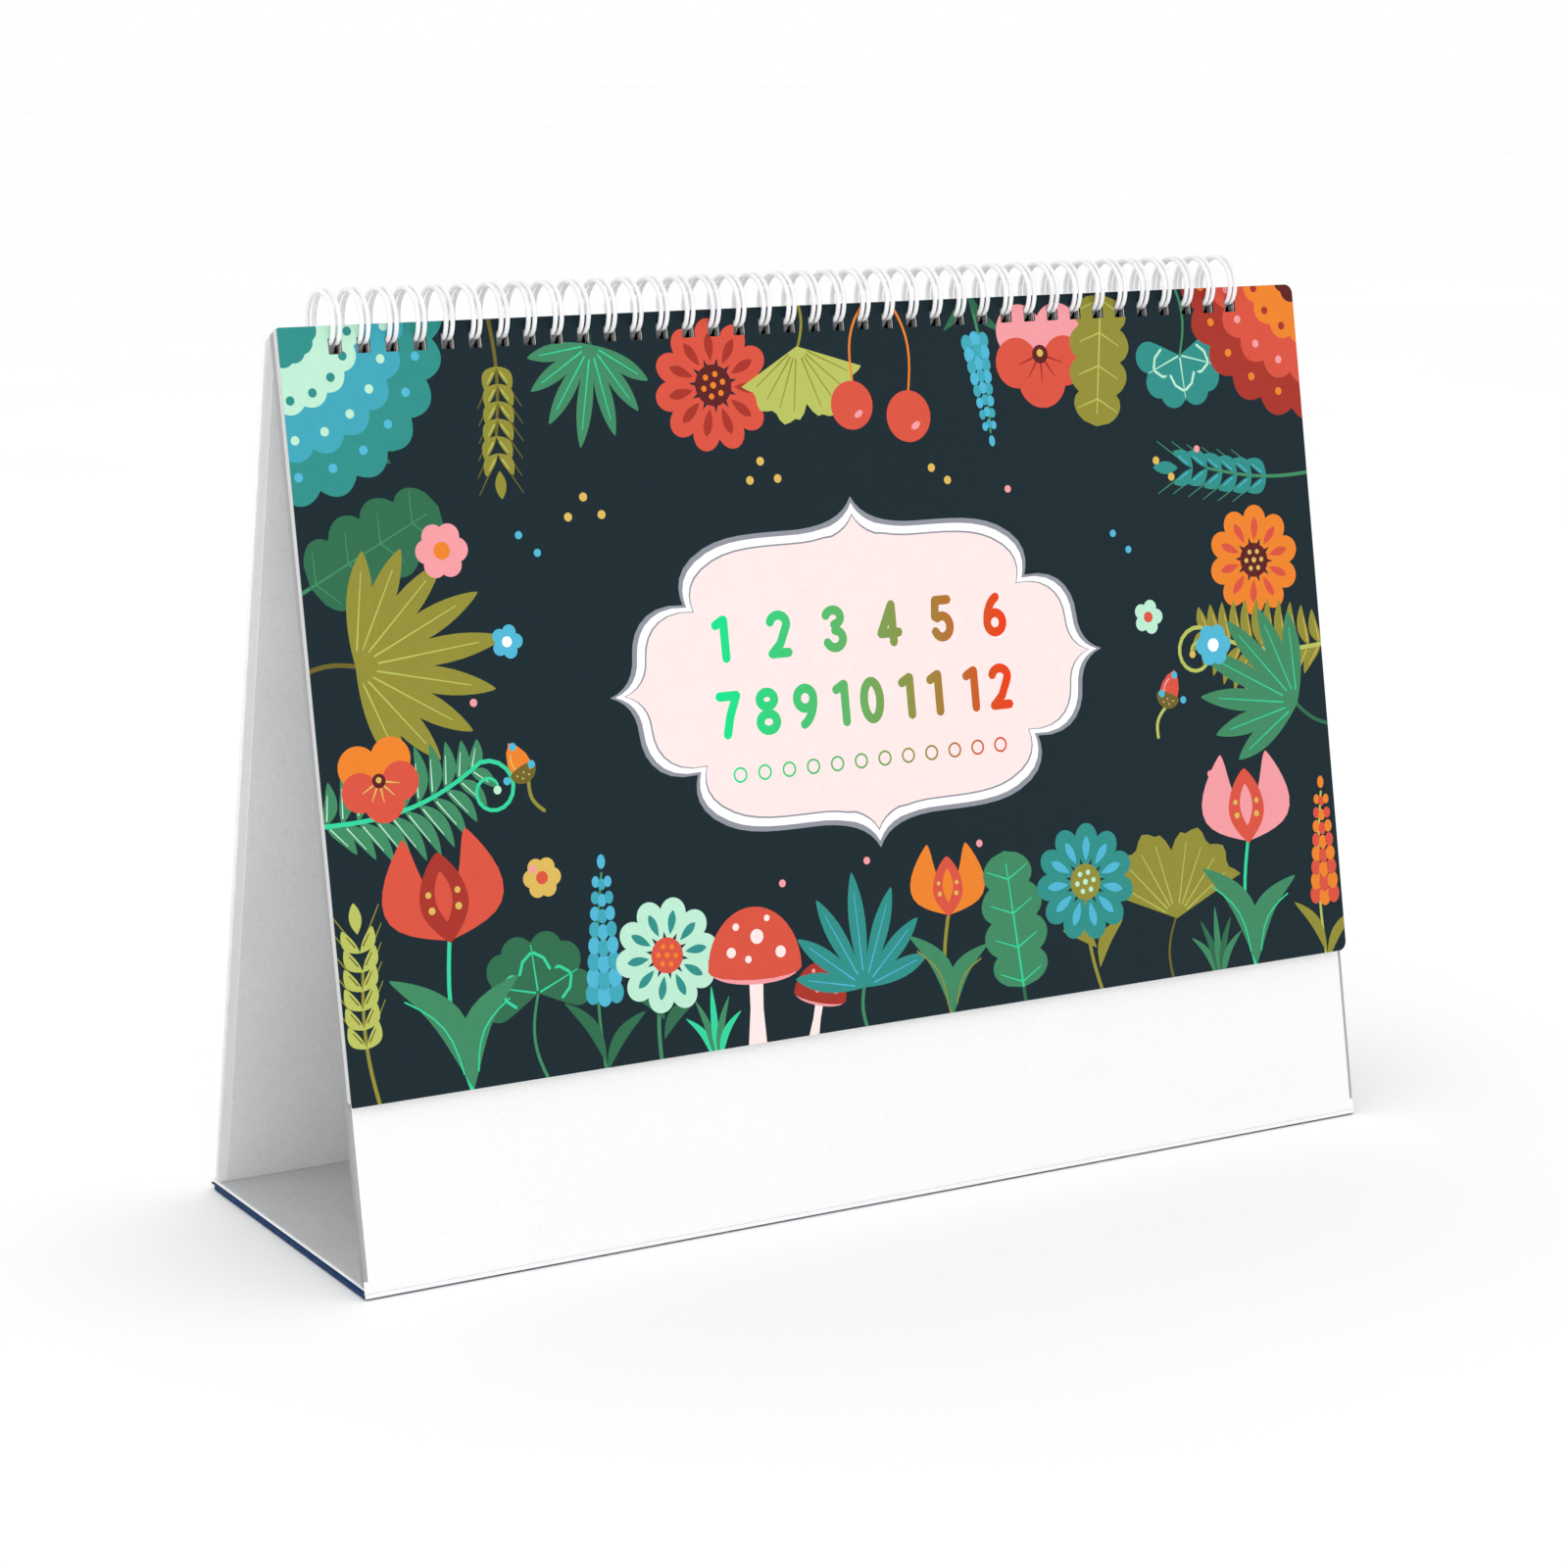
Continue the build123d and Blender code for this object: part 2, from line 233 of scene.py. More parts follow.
# --- motifs, each growing up from its own origin
def tulip(A, h, petal, inner, stem, leaf):
    A.stroke(bow(0, 0, 0, h * 0.62, 0.07), 0.9, stem)
    A.blade(0, h * 0.04, -h * 0.27, h * 0.5, h * 0.12, leaf, bend=-0.16, full=0.45, n=12)
    A.blade(0, h * 0.04, h * 0.25, h * 0.42, h * 0.11, leaf, bend=0.18, full=0.45, n=12)
    A.stroke(bow(-h * 0.03, h * 0.1, -h * 0.22, h * 0.41, -0.14, 6), 0.35, stem)
    A.stroke(bow(h * 0.03, h * 0.1, h * 0.2, h * 0.34, 0.15, 6), 0.35, stem)
    b = h * 0.6
    A.blade(0, b, -h * 0.13, h, h * 0.2, petal, bend=0.22, full=0.42, n=12)
    A.blade(0, b, h * 0.13, h, h * 0.2, petal, bend=-0.22, full=0.42, n=12)
    A.blade(0, b - h * 0.01, 0, h * 0.93, h * 0.2, inner, full=0.45, n=12)
    A.blade(0, b + h * 0.07, 0, h * 0.86, h * 0.07, petal, full=0.5, n=8)
    for s in (-1, 1):
        A.disc(s * h * 0.055, b + h * 0.12, h * 0.014, "gold")
        A.disc(s * h * 0.06, b + h * 0.18, h * 0.012, "gold")


def daisy(A, r, petals, outer, inner, heart, dots="gold", stalk=0, stem="olive", leaf="green"):
    if stalk:
        A.stroke(bow(0, -stalk, 0, 0, 0.06), 0.9, stem)
        A.blade(0, -stalk * 0.72, stalk * 0.3, -stalk * 0.38, stalk * 0.12, leaf, bend=0.15, n=8)
        A.blade(0, -stalk * 0.55, -stalk * 0.3, -stalk * 0.2 - r * 0.3, stalk * 0.12, leaf, bend=-0.15, n=8)
    for i in range(petals):
        a = 2 * math.pi * i / petals + 0.2
        c, s = math.cos(a), math.sin(a)
        A.petal(c * r * 0.2, s * r * 0.2, c * r, s * r, 2 * math.pi * r / petals * 0.8, outer, full=0.66, n=24)
    for i in range(petals):
        a = 2 * math.pi * i / petals + 0.2
        c, s = math.cos(a), math.sin(a)
        A.blade(c * r * 0.36, s * r * 0.36, c * r * 0.78, s * r * 0.78, r * 0.15, inner, full=0.6, n=6)
    A.disc(0, 0, r * 0.31, heart)
    for i in range(6):
        a = 2 * math.pi * i / 6
        A.disc(math.cos(a) * r * 0.17, math.sin(a) * r * 0.17, r * 0.045, dots, n=8)
    A.disc(0, 0, r * 0.05, dots, n=8)


def wheat(A, h, grain, stem, shade):
    A.stroke(bow(0, 0, 0, h * 0.66, 0.05), 0.8, stem, 0.6)
    rows = 6
    for i in range(rows):
        y = h * (0.32 + 0.085 * i)
        x = -h * 0.66 * 0.05 * math.sin(math.pi * min(1.0, y / (h * 0.66)))
        for s in (-1, 1):
            A.stroke([(x + s * h * 0.045, y + h * 0.08), (x + s * h * 0.12, y + h * 0.2)], 0.3, stem, 0.18)
            A.blade(x, y, x + s * h * 0.075, y + h * 0.11, h * 0.058, grain, bend=-s * 0.12, full=0.5, n=8)
            A.stroke([(x + s * h * 0.02, y + h * 0.03), (x + s * h * 0.055, y + h * 0.08)], 0.3, shade, 0.2)
    A.blade(0, h * 0.83, 0, h * 0.97, h * 0.06, grain, n=8)


def spike(A, h, bud, tip, stem, leaf):
    A.stroke(bow(0, 0, 0, h * 0.9, 0.04), 0.7, stem, 0.5)
    A.blade(0, h * 0.06, -h * 0.2, h * 0.34, h * 0.06, leaf, bend=-0.12, n=8)
    A.blade(0, h * 0.02, h * 0.2, h * 0.28, h * 0.06, leaf, bend=0.12, n=8)
    for i in range(8):
        y = h * (0.36 + 0.07 * i)
        k = 1 - 0.55 * i / 8
        for s in (-1, 0, 1):
            A.disc(s * h * 0.058 * k, y + abs(s) * h * 0.012, h * 0.036 * k, bud if (i + s) % 2 else tip, stretch=1.35, n=12)
    A.disc(0, h * 0.95, h * 0.02, tip, stretch=1.6, n=10)


def crozier(A, h, stem, leaflet, light):
    """A fern frond whose tip curls into a spiral."""
    path = []
    for i in range(15):
        t = i / 14
        path.append((h * 0.1 * math.sin(math.pi * 0.8 * t), h * 0.72 * t))
    cx, cy = path[-1][0] + h * 0.11, path[-1][1]
    curl = []
    for i in range(1, 27):
        a = math.pi - i * 0.36
        r = h * 0.11 * (1 - i / 30)
        curl.append((cx + r * math.cos(a), cy + r * math.sin(a)))
    n = 11
    for i in range(n):
        t = (i + 1.2) / (n + 1)
        k = int(t * 14)
        f = t * 14 - k
        x = path[k][0] + (path[min(14, k + 1)][0] - path[k][0]) * f
        y = path[k][1] + (path[min(14, k + 1)][1] - path[k][1]) * f
        w = h * 0.21 * math.sin(math.pi * (0.16 + 0.74 * t))
        for s in (-1, 1):
            A.blade(x, y, x + s * w, y + h * 0.07, h * 0.052, leaflet, bend=s * 0.1, full=0.4, n=7)
            A.stroke([(x + s * w * 0.12, y + h * 0.012), (x + s * w * 0.7, y + h * 0.05)], 0.28, light, 0.15)
    A.stroke(path, 0.9, stem, 0.8)
    half = len(curl) // 2
    A.stroke([path[-1]] + curl[: half + 1], 0.85, stem, 0.7)
    A.stroke(curl[half:-3], 0.7, stem, 0.5)
    A.disc(curl[-4][0], curl[-4][1], h * 0.016, light, n=10)


def ginkgo(A, h, leaf, vein, stem):
    A.stroke(bow(0, 0, h * 0.05, h * 0.42, 0.12), 0.7, stem, 0.5)
    x, y, r = h * 0.05, h * 0.4, h * 0.58
    pts = [(x, y)]
    for i in range(31):
        a = math.radians(158 - 136 * i / 30)
        k = r * (0.93 + 0.05 * math.cos(i * 1.25))
        if i in (14, 15, 16):
            k *= 0.72 if i == 15 else 0.86
        pts.append((x + k * math.cos(a) * 0.95, y + k * math.sin(a)))
    A.add(pts, leaf)
    for i in range(9):
        if i == 4:
            continue
        a = math.radians(150 - 120 * i / 8)
        A.stroke(
            [(x + r * 0.16 * math.cos(a), y + r * 0.16 * math.sin(a)), (x + r * 0.8 * math.cos(a) * 0.95, y + r * 0.8 * math.sin(a))],
            0.32,
            vein,
            0.2,
        )


def cherries(A, h, fruit, shine, stem, leaf, vein):
    A.stroke(bow(0, 0, -h * 0.2, h * 0.66, 0.14), 0.65, stem, 0.5)
    A.stroke(bow(0, 0, h * 0.2, h * 0.6, -0.16), 0.65, stem, 0.5)
    A.blade(0, 0, h * 0.42, h * 0.12, h * 0.17, leaf, bend=-0.1, n=10)
    A.stroke([(h * 0.05, h * 0.01), (h * 0.34, h * 0.1)], 0.35, vein, 0.2)
    for x, y, r in ((-h * 0.2, h * 0.8, h * 0.16), (h * 0.21, h * 0.74, h * 0.15)):
        A.disc(x, y, r, fruit, n=26)
        A.disc(x - r * 0.32, y + r * 0.35, r * 0.22, shine, n=12, stretch=0.6, turn=35)


def oak(A, h, leaf, vein, stem):
    A.stroke([(0, 0), (0, h * 0.2)], 0.8, stem)
    side = []
    lobes = 4
    for i in range(33):
        t = i / 32
        w = h * (0.1 + 0.13 * math.sin(math.pi * (0.18 + 0.72 * t)))
        w *= 0.72 + 0.28 * abs(math.sin(math.pi * lobes * t)) ** 0.7
        w *= math.sqrt(max(0.0, 1 - (2 * t - 1) ** 12))
        side.append((w, h * (0.14 + 0.84 * t)))
    A.add(side + [(-x, y) for x, y in side[::-1]][1:-1], leaf)
    A.stroke([(0, h * 0.15), (0, h * 0.9)], 0.5, vein, 0.25)
    for i in range(4):
        t = (i + 0.5) / lobes
        y = h * (0.14 + 0.84 * t)
        for s in (-1, 1):
            A.stroke([(0, y - h * 0.07), (s * h * 0.15, y)], 0.35, vein, 0.18)


def palm(A, h, leaf, vein, stem, fingers=7, spread=150):
    A.stroke(bow(0, 0, 0, h * 0.32, 0.1, 6), 0.8, stem)
    for i in range(fingers):
        a = math.radians(90 + spread * (i / (fingers - 1) - 0.5))
        k = 0.72 - 0.22 * abs(i / (fingers - 1) - 0.5) * 2
        x1, y1 = h * k * math.cos(a), h * 0.3 + h * k * math.sin(a)
        A.blade(0, h * 0.3, x1, y1, h * 0.12, leaf, full=0.58, n=9)
        A.stroke([(x1 * 0.15, h * 0.3 + (y1 - h * 0.3) * 0.15), (x1 * 0.82, h * 0.3 + (y1 - h * 0.3) * 0.82)], 0.32, vein, 0.18)


def bells(A, h, bell, lip, stem, count=5):
    arch = [(h * 0.62 * (1 - math.cos(math.pi * 0.5 * i / 14)), h * 0.8 * math.sin(math.pi * 0.5 * i / 14)) for i in range(15)]
    A.stroke(arch, 0.8, stem, 0.5)
    A.blade(0, 0, -h * 0.1, h * 0.6, h * 0.11, "green", bend=-0.1, n=10)
    for i in range(count):
        x, y = arch[5 + int(9 * i / (count - 1))]
        k = 1 - 0.08 * i
        A.stroke([(x, y), (x + h * 0.02, y - h * 0.07)], 0.45, stem)
        x, y = x + h * 0.02, y - h * 0.07
        w, d = h * 0.062 * k, h * 0.13 * k
        A.add(
            [(x - w * 0.35, y), (x + w * 0.35, y), (x + w * 0.8, y - d * 0.35), (x + w, y - d * 0.9), (x + w * 0.5, y - d * 0.75),
             (x, y - d), (x - w * 0.5, y - d * 0.75), (x - w, y - d * 0.9), (x - w * 0.8, y - d * 0.35)],
            bell,
        )
        A.disc(x, y - d * 1.02, w * 0.22, lip, n=8)


def rosette(A, r, tiers, a0=0.0, a1=360.0):
    """Rings of petals round a point; part of it when it stands at an edge."""
    for k, (reach, count, wide, ink, dot) in enumerate(tiers):
        for i in range(count):
            a = math.radians(a0 + (a1 - a0) * (i + 0.5) / count)
            c, s = math.cos(a), math.sin(a)
            A.petal(0, 0, c * r * reach, s * r * reach, r * wide, ink, full=0.7, n=34)
            if dot:
                A.disc(c * r * reach * 0.84, s * r * reach * 0.84, r * 0.026, dot, n=14)


def toadstool(A, h, cap, spot, stalk, gill):
    A.add([(-h * 0.07, 0), (h * 0.08, 0), (h * 0.055, h * 0.3), (h * 0.06, h * 0.6), (-h * 0.05, h * 0.6), (-h * 0.045, h * 0.3)], stalk)
    A.add(ring_pts(0, h * 0.56, h * 0.34, h * 0.1, 180, 360, 14) + ring_pts(0, h * 0.56, h * 0.34, h * 0.06, 0, 180, 8)[1:-1], gill)
    A.add(ring_pts(0, h * 0.56, h * 0.36, h * 0.42, 0, 180, 20) + ring_pts(0, h * 0.56, h * 0.36, h * 0.07, 180, 360, 8)[1:-1], cap)
    for x, y, r in ((-0.18, 0.68, 0.035), (0.02, 0.78, 0.05), (0.2, 0.67, 0.04), (-0.05, 0.63, 0.025), (0.1, 0.9, 0.022), (-0.14, 0.85, 0.025)):
        A.disc(x * h, y * h, r * h, spot, n=12)


def blossom(A, r, petal, heart, n=5):
    for i in range(n):
        a = 2 * math.pi * i / n
        A.disc(math.cos(a) * r * 0.55, math.sin(a) * r * 0.55, r * 0.42, petal, n=16)
    A.disc(0, 0, r * 0.3, heart, n=14)


def clover(A, h, leaf, band, stem):
    """Three heart-shaped leaves on a bent stalk."""
    A.stroke(bow(0, 0, 0, h * 0.56, 0.12), 0.75, stem, 0.55)
    for turn in (-72, 72, 0):
        a = math.radians(90 + turn)
        ux, uy = math.cos(a), math.sin(a)

        def at(along, aside, ux=ux, uy=uy):
            return (h * (ux * along - uy * aside), h * (0.56 + uy * along + ux * aside))

        A.add([at(0, 0), at(0.15, -0.155), at(0.245, -0.2), at(0.31, 0), at(0.245, 0.2), at(0.15, 0.155)], leaf)
        for side in (-1, 1):
            x, y = at(0.245, side * 0.095)
            A.disc(x, y, h * 0.108, leaf, n=26)
        for side in (-1, 1):
            A.stroke([at(0.13, side * 0.1), at(0.2, side * 0.07), at(0.24, side * 0.012)], h * 0.018, band)
        A.stroke([at(0.02, 0), at(0.29, 0)], h * 0.012, band, h * 0.006)


def acorn(A, h, nut, shine, cap, stem):
    A.stroke(bow(0, 0, 0, h * 0.42, 0.16, 8), 0.8, stem)
    A.add(ring_pts(0, h * 0.6, h * 0.155, h * 0.2, 180, 0, 8)[:1] + [(-h * 0.155, h * 0.6), (-h * 0.145, h * 0.74), (-h * 0.09, h * 0.87),
          (-h * 0.025, h * 0.93), (0, h * 0.97), (h * 0.025, h * 0.93), (h * 0.09, h * 0.87), (h * 0.145, h * 0.74), (h * 0.155, h * 0.6)], nut)
    A.stroke(bow(-h * 0.085, h * 0.64, -h * 0.05, h * 0.82, 0.12, 6), h * 0.022, shine)
    A.add(ring_pts(0, h * 0.585, h * 0.19, h * 0.17, 180, 360, 16) + ring_pts(0, h * 0.585, h * 0.19, h * 0.05, 0, 180, 10)[1:-1], cap)
    for x, y in ((-0.1, 0.55), (0, 0.55), (0.1, 0.55), (-0.05, 0.49), (0.05, 0.49)):
        A.disc(x * h, y * h, h * 0.013, shine, n=10)


def pansy(A, r, back, front, heart, line):
    """Five overlapping round petals with a dark middle."""
    for x, y, k, ink in ((-0.42, 0.42, 0.5, back), (0.42, 0.42, 0.5, back), (-0.52, -0.14, 0.46, front), (0.52, -0.14, 0.46, front), (0, -0.46, 0.52, front)):
        A.disc(x * r, y * r, k * r, ink, n=26)
    for a in (200, 235, 270, 305, 340):
        c, s = math.cos(math.radians(a)), math.sin(math.radians(a))
        A.stroke([(c * r * 0.14, s * r * 0.14), (c * r * 0.5, s * r * 0.5)], r * 0.05, line, r * 0.02)
    A.disc(0, 0, r * 0.17, heart, n=16)
    A.disc(0, r * 0.02, r * 0.07, "gold", n=12)


def tuft(A, h, blade, light, count=5, spread=70):
    """A small tuft of grass blades."""
    for i in range(count):
        k = i / (count - 1) - 0.5
        a = math.radians(90 - spread * k)
        reach = h * (1 - 0.5 * abs(k))
        A.blade(k * h * 0.1, 0, reach * math.cos(a), reach * math.sin(a), h * 0.11, blade if i % 2 else light, bend=0.12 * k * 2, full=0.4, n=10)


def dots(A, pts, r, ink):
    for x, y in pts:
        A.disc(x, y, r, ink, n=9)


# --- numerals, drawn with a round pen in a box 0.6 wide and 1 high
def numeral(A, digit, x, y, h, weight, ink):
    t = weight
    a, W = t / 2, 0.6
    cx = W / 2
    R = cx - a

    def pen(pts):
        A.stroke([(x + px * h, y + py * h) for px, py in pts], t * h, ink)

    def arc(ox, oy, rx, ry, a0, a1, n=12):
        pen(ring_pts(ox, oy, rx, ry, a0, a1, n))

    if digit == 0:
        arc(cx, 0.5, R, 0.5 - a, 90, 270, 14)
        arc(cx, 0.5, R, 0.5 - a, -90, 90, 14)
    elif digit == 1:
        pen([(cx + 0.05, a), (cx + 0.05, 0.5), (cx + 0.05, 1 - a)])
        pen([(cx - 0.15, 0.8), (cx + 0.04, 1 - a)])
    elif digit == 2:
        arc(cx, 0.72, R, 0.28 - a, 165, -35, 12)
        pen([(cx + R * 0.8, 0.6), (cx + 0.02, 0.3), (a + 0.01, a)])
        pen([(a, a), (W - a, a)])
    elif digit == 3:
        arc(cx - 0.01, 0.745, R * 0.92, 0.255 - a, 160, -85, 12)
        arc(cx, 0.285, R, 0.285 - a, 85, -160, 12)
    elif digit == 4:
        pen([(cx + 0.1, a), (cx + 0.1, 0.5), (cx + 0.1, 1 - a)])
        pen([(cx + 0.1, 1 - a), (a, 0.3)])
        pen([(a, 0.3), (W - a * 0.6, 0.3)])
    elif digit == 5:
        pen([(W - a * 1.3, 1 - a), (a * 1.6, 1 - a)])
        pen([(a * 1.6, 1 - a), (a * 1.25, 0.55)])
        arc(cx - 0.005, 0.33, R, 0.33 - a, 125, -155, 14)
    elif digit == 6:
        arc(cx, 0.31, R, 0.31 - a, 90, 270, 12)
        arc(cx, 0.31, R, 0.31 - a, -90, 90, 12)
        pen(ring_pts(cx + 0.22, 0.31, R + 0.22, 0.69 - a, 178, 112, 10))
    elif digit == 7:
        pen([(a, 1 - a), (W - a, 1 - a)])
        pen([(W - a, 1 - a), (cx + 0.02, 0.48), (cx - 0.08, a)])
    elif digit == 8:
        arc(cx, 0.75, R * 0.88, 0.25 - a, 90, 270, 10)
        arc(cx, 0.75, R * 0.88, 0.25 - a, -90, 90, 10)
        arc(cx, 0.275, R, 0.275 - a, 90, 270, 12)
        arc(cx, 0.275, R, 0.275 - a, -90, 90, 12)
    elif digit == 9:
        arc(cx, 0.69, R, 0.31 - a, 90, 270, 12)
        arc(cx, 0.69, R, 0.31 - a, -90, 90, 12)
        pen(ring_pts(cx - 0.22, 0.69, R + 0.22, 0.69 - a, -2, -68, 10))


def number(A, value, x, y, h, weight, ink, gap=0.12, centre=True):
    text = str(value)
    total = len(text) * 0.6 * h + (len(text) - 1) * gap * h
    if centre:
        x -= total / 2
    for ch in text:
        numeral(A, int(ch), x, y, h, weight, ink)
        x += (0.6 + gap) * h


def bracket(cx, cy, hw, hh, k=0.0):
    """A bracket-shaped label outline with a point at each side, shrunk by k."""
    quarter = [(0.0, 1.0)]

    def curve(p0, p1, p2, p3, n):
        for i in range(1, n + 1):
            t = i / n
            u = 1 - t
            quarter.append(tuple(u**3 * a + 3 * u * u * t * b + 3 * u * t * t * c + t**3 * d for a, b, c, d in zip(p0, p1, p2, p3)))

    curve((0.0, 1.0), (0.03, 0.9), (0.1, 0.845), (0.22, 0.835), 7)
    curve((0.22, 0.835), (0.36, 0.83), (0.5, 0.85), (0.6, 0.77), 7)
    curve((0.6, 0.77), (0.715, 0.68), (0.715, 0.56), (0.695, 0.47), 6)
    curve((0.695, 0.47), (0.84, 0.5), (0.9, 0.36), (0.903, 0.22), 7)
    curve((0.903, 0.22), (0.905, 0.1), (0.94, 0.03), (1.0, 0.0), 6)
    full = (
        quarter[:-1]
        + [(x, -y) for x, y in quarter[::-1]][:-1]
        + [(-x, -y) for x, y in quarter][:-1]
        + [(-x, y) for x, y in quarter[::-1]][:-1]
    )
    return [(cx + x * (hw - k), cy + y * (hh - k * (1.0 if abs(x) > 0.1 else 1.15))) for x, y in full]


def cover_art():
    A = Art()
    # top edge, hanging
    A.place(-103, 163, 170, 1.0)
    crozier(A, 44, "green", "moss", "spring")
    A.place(-130, 160, -128, 1.0)
    rosette(A, 37, [(1.0, 8, 0.36, "teal", "sky"), (0.76, 7, 0.3, "aqua", "mint"), (0.5, 6, 0.23, "mint", "teal"), (0.24, 5, 0.14, "teal", None)], 34, 150)
    A.place(-83, 163, 180, 1.15)
    wheat(A, 37, "olive", "bark", "lime")
    A.place(-57, 162, 168, 1.1, -1)
    palm(A, 28, "green", "spring", "moss", 7, 140)
    A.place(-30, 143, 15, 1.0)
    daisy(A, 14.5, 11, "coral", "brick", "wine", "orange")
    A.place(-8, 163, 186, 1.15)
    ginkgo(A, 27, "lime", "olive", "olive")
    A.place(14, 163, 176, 1.0)
    cherries(A, 36, "coral", "rose", "orange", "green", "spring")
    A.place(37, 164, 186, 1.15)
    spike(A, 34, "aqua", "sky", "green", "moss")
    A.place(56, 146, 0, 1.0)
    pansy(A, 12.5, "rose", "coral", "wine", "brick")
    A.place(75, 164, 172, 1.1)
    oak(A, 33, "olive", "lime", "bark")
    A.place(94, 163, 184, 1.0)
    clover(A, 34, "teal", "mint", "green")
    A.place(133, 163, 128, 1.0)
    rosette(A, 36, [(1.0, 7, 0.38, "brick", "orange"), (0.76, 6, 0.31, "coral", "rose"), (0.5, 5, 0.24, "orange", "brick"), (0.25, 4, 0.16, "wine", None)], 34, 148)
    # left side
    A.place(-133, 104, -64, 1.0)
    oak(A, 40, "moss", "green", "green")
    A.place(-134, 88, -84, 1.2)
    palm(A, 40, "olive", "lime", "bark", 9, 150)
    A.place(-98, 112, 0, 1.0)
    blossom(A, 6.2, "rose", "orange", 6)
    A.place(-134, 58, -72, 1.1)
    crozier(A, 52, "spring", "green", "mint")
    A.place(-85, 92, 0, 1.0)
    blossom(A, 3.8, "sky", "white")
    A.place(-117, 66, 10, 1.0)
    pansy(A, 9.0, "orange", "coral", "wine", "gold")
    A.place(-80, 56, 25, 1.0)
    acorn(A, 17, "orange", "gold", "bark", "olive")
    A.place(-82, 42, 0, 1.0)
    blossom(A, 4.6, "gold", "coral", 6)
    # right side
    A.place(134, 115, 86, 1.15)
    wheat(A, 44, "teal", "green", "sky")
    A.place(112, 95, 0, 1.0)
    daisy(A, 13.0, 10, "orange", "coral", "wine", "gold")
    A.place(80, 84, 0, 1.0)
    blossom(A, 4.2, "mint", "coral")
    A.place(134, 74, 76, 1.15, -1)
    crozier(A, 48, "lime", "olive", "gold")
    A.place(133, 54, 62, 1.1)
    palm(A, 40, "green", "spring", "moss", 7, 120)
    A.place(98, 76, 0, 1.0)
    blossom(A, 5.2, "sky", "white", 6)
    A.place(80, 56, -22, 1.0)
    acorn(A, 17, "coral", "rose", "bark", "lime")
    # foot, growing up
    A.place(-84, -2, 4, 1.05)
    clover(A, 34, "moss", "spring", "green")
    A.place(-102, -2, 4, 1.0)
    tulip(A, 56, "coral", "brick", "spring", "green")
    A.place(-123, -3, 3, 1.1)
    wheat(A, 42, "lime", "olive", "bark")
    A.place(-71, -2, -4, 1.05)
    spike(A, 46, "aqua", "sky", "green", "moss")
    A.place(-54, 22, -8, 1.0)
    daisy(A, 12.5, 10, "mint", "teal", "coral", "orange", stalk=25, stem="green", leaf="moss")
    A.place(-34, -2, -4, 1.05)
    toadstool(A, 31, "coral", "blush", "blush", "rose")
    A.place(-20, -2, -16, 1.1)
    toadstool(A, 17, "brick", "rose", "blush", "rose")
    A.place(-44, -2, 0, 1.0)
    tuft(A, 16, "green", "spring")
    A.place(-5, -2, 2, 1.05)
    palm(A, 34, "teal", "sky", "green", 7, 150)
    A.place(17, -2, -3, 1.0)
    tulip(A, 40, "orange", "coral", "olive", "green")
    A.place(37, -2, 4, 1.1)
    oak(A, 34, "green", "spring", "moss")
    A.place(79, -2, 0, 1.05)
    ginkgo(A, 37, "olive", "lime", "bark")
    A.place(56, 25, 6, 1.0)
    daisy(A, 13.5, 11, "teal", "sky", "olive", "mint", stalk=28, stem="olive", leaf="olive")
    A.place(92, -2, 0, 1.0)
    tuft(A, 17, "moss", "green")
    A.place(103, -2, -1, 1.0)
    tulip(A, 52, "rose", "coral", "spring", "green")
    A.place(124, -3, -3, 1.1)
    spike(A, 42, "coral", "orange", "lime", "olive")
    # small fillings between
    A.place(0, 0)
    dots(A, [(-20, 126), (-23, 122), (-16, 122), (24, 122), (28, 119), (-64, 121), (-68, 117), (-60, 117), (90, 116), (86, 120)], 0.95, "gold")
    dots(A, [(-86, 70), (-82, 66), (-88, 63), (86, 70), (82, 66), (88, 64), (-76, 110), (-80, 114), (76, 100), (72, 104)], 0.85, "sky")
    dots(A, [(-2, 36.5), (-24, 34), (28, 37), (-84, 44), (94, 46), (-94, 80), (98, 122), (44, 116)], 0.85, "rose")
    # label
    cx, cy = 2.0, 78.0
    A.add(bracket(cx, cy, 64.0, 39.0), "frame")
    A.add(bracket(cx, cy, 64.0, 39.0, 1.3), "white")
    A.add(bracket(cx, cy, 64.0, 39.0, 3.3), "frame")
    A.add(bracket(cx, cy, 64.0, 39.0, 3.75), "blush")
    for row, (first, y) in enumerate(((1, 83.0), (7, 66.5))):
        widths = [0.6 if v < 10 else 1.32 for v in range(first, first + 6)]
        h = 10.4
        gap = (77.0 - sum(widths) * h) / 5
        x = cx - 77.0 / 2
        for v, w in zip(range(first, first + 6), widths):
            number(A, v, x, y, h, 0.2, "blend", centre=False)
            x += w * h + gap
    for i in range(12):
        x = cx - 34.0 + i * 68.0 / 11
        A.add(ring_pts(x, 58.6, 1.75, 1.75, 90, 270, 8) + ring_pts(x, 58.6, 1.3, 1.3, 270, 90, 8), "blend")
        A.add(ring_pts(x, 58.6, 1.75, 1.75, -90, 90, 8) + ring_pts(x, 58.6, 1.3, 1.3, 90, -90, 8), "blend")
    return A.shapes


def blend_ink(x):
    """The label's numerals run from green over olive to red across it."""
    stops = [(-36.5, hexa("12e08c")), (-2.0, hexa("5fae62")), (18.0, hexa("96853a")), (41.0, hexa("ea3a12"))]
    if x <= stops[0][0]:
        return stops[0][1]
    for (x0, c0), (x1, c1) in zip(stops, stops[1:]):
        if x <= x1:
            t = (x - x0) / (x1 - x0)
            return tuple(a + (b - a) * t for a, b in zip(c0, c1))
    return stops[-1][1]


def box_pts(x0, y0, x1, y1):
    return [(x0, y0), (x1, y0), (x1, y1), (x0, y1)]


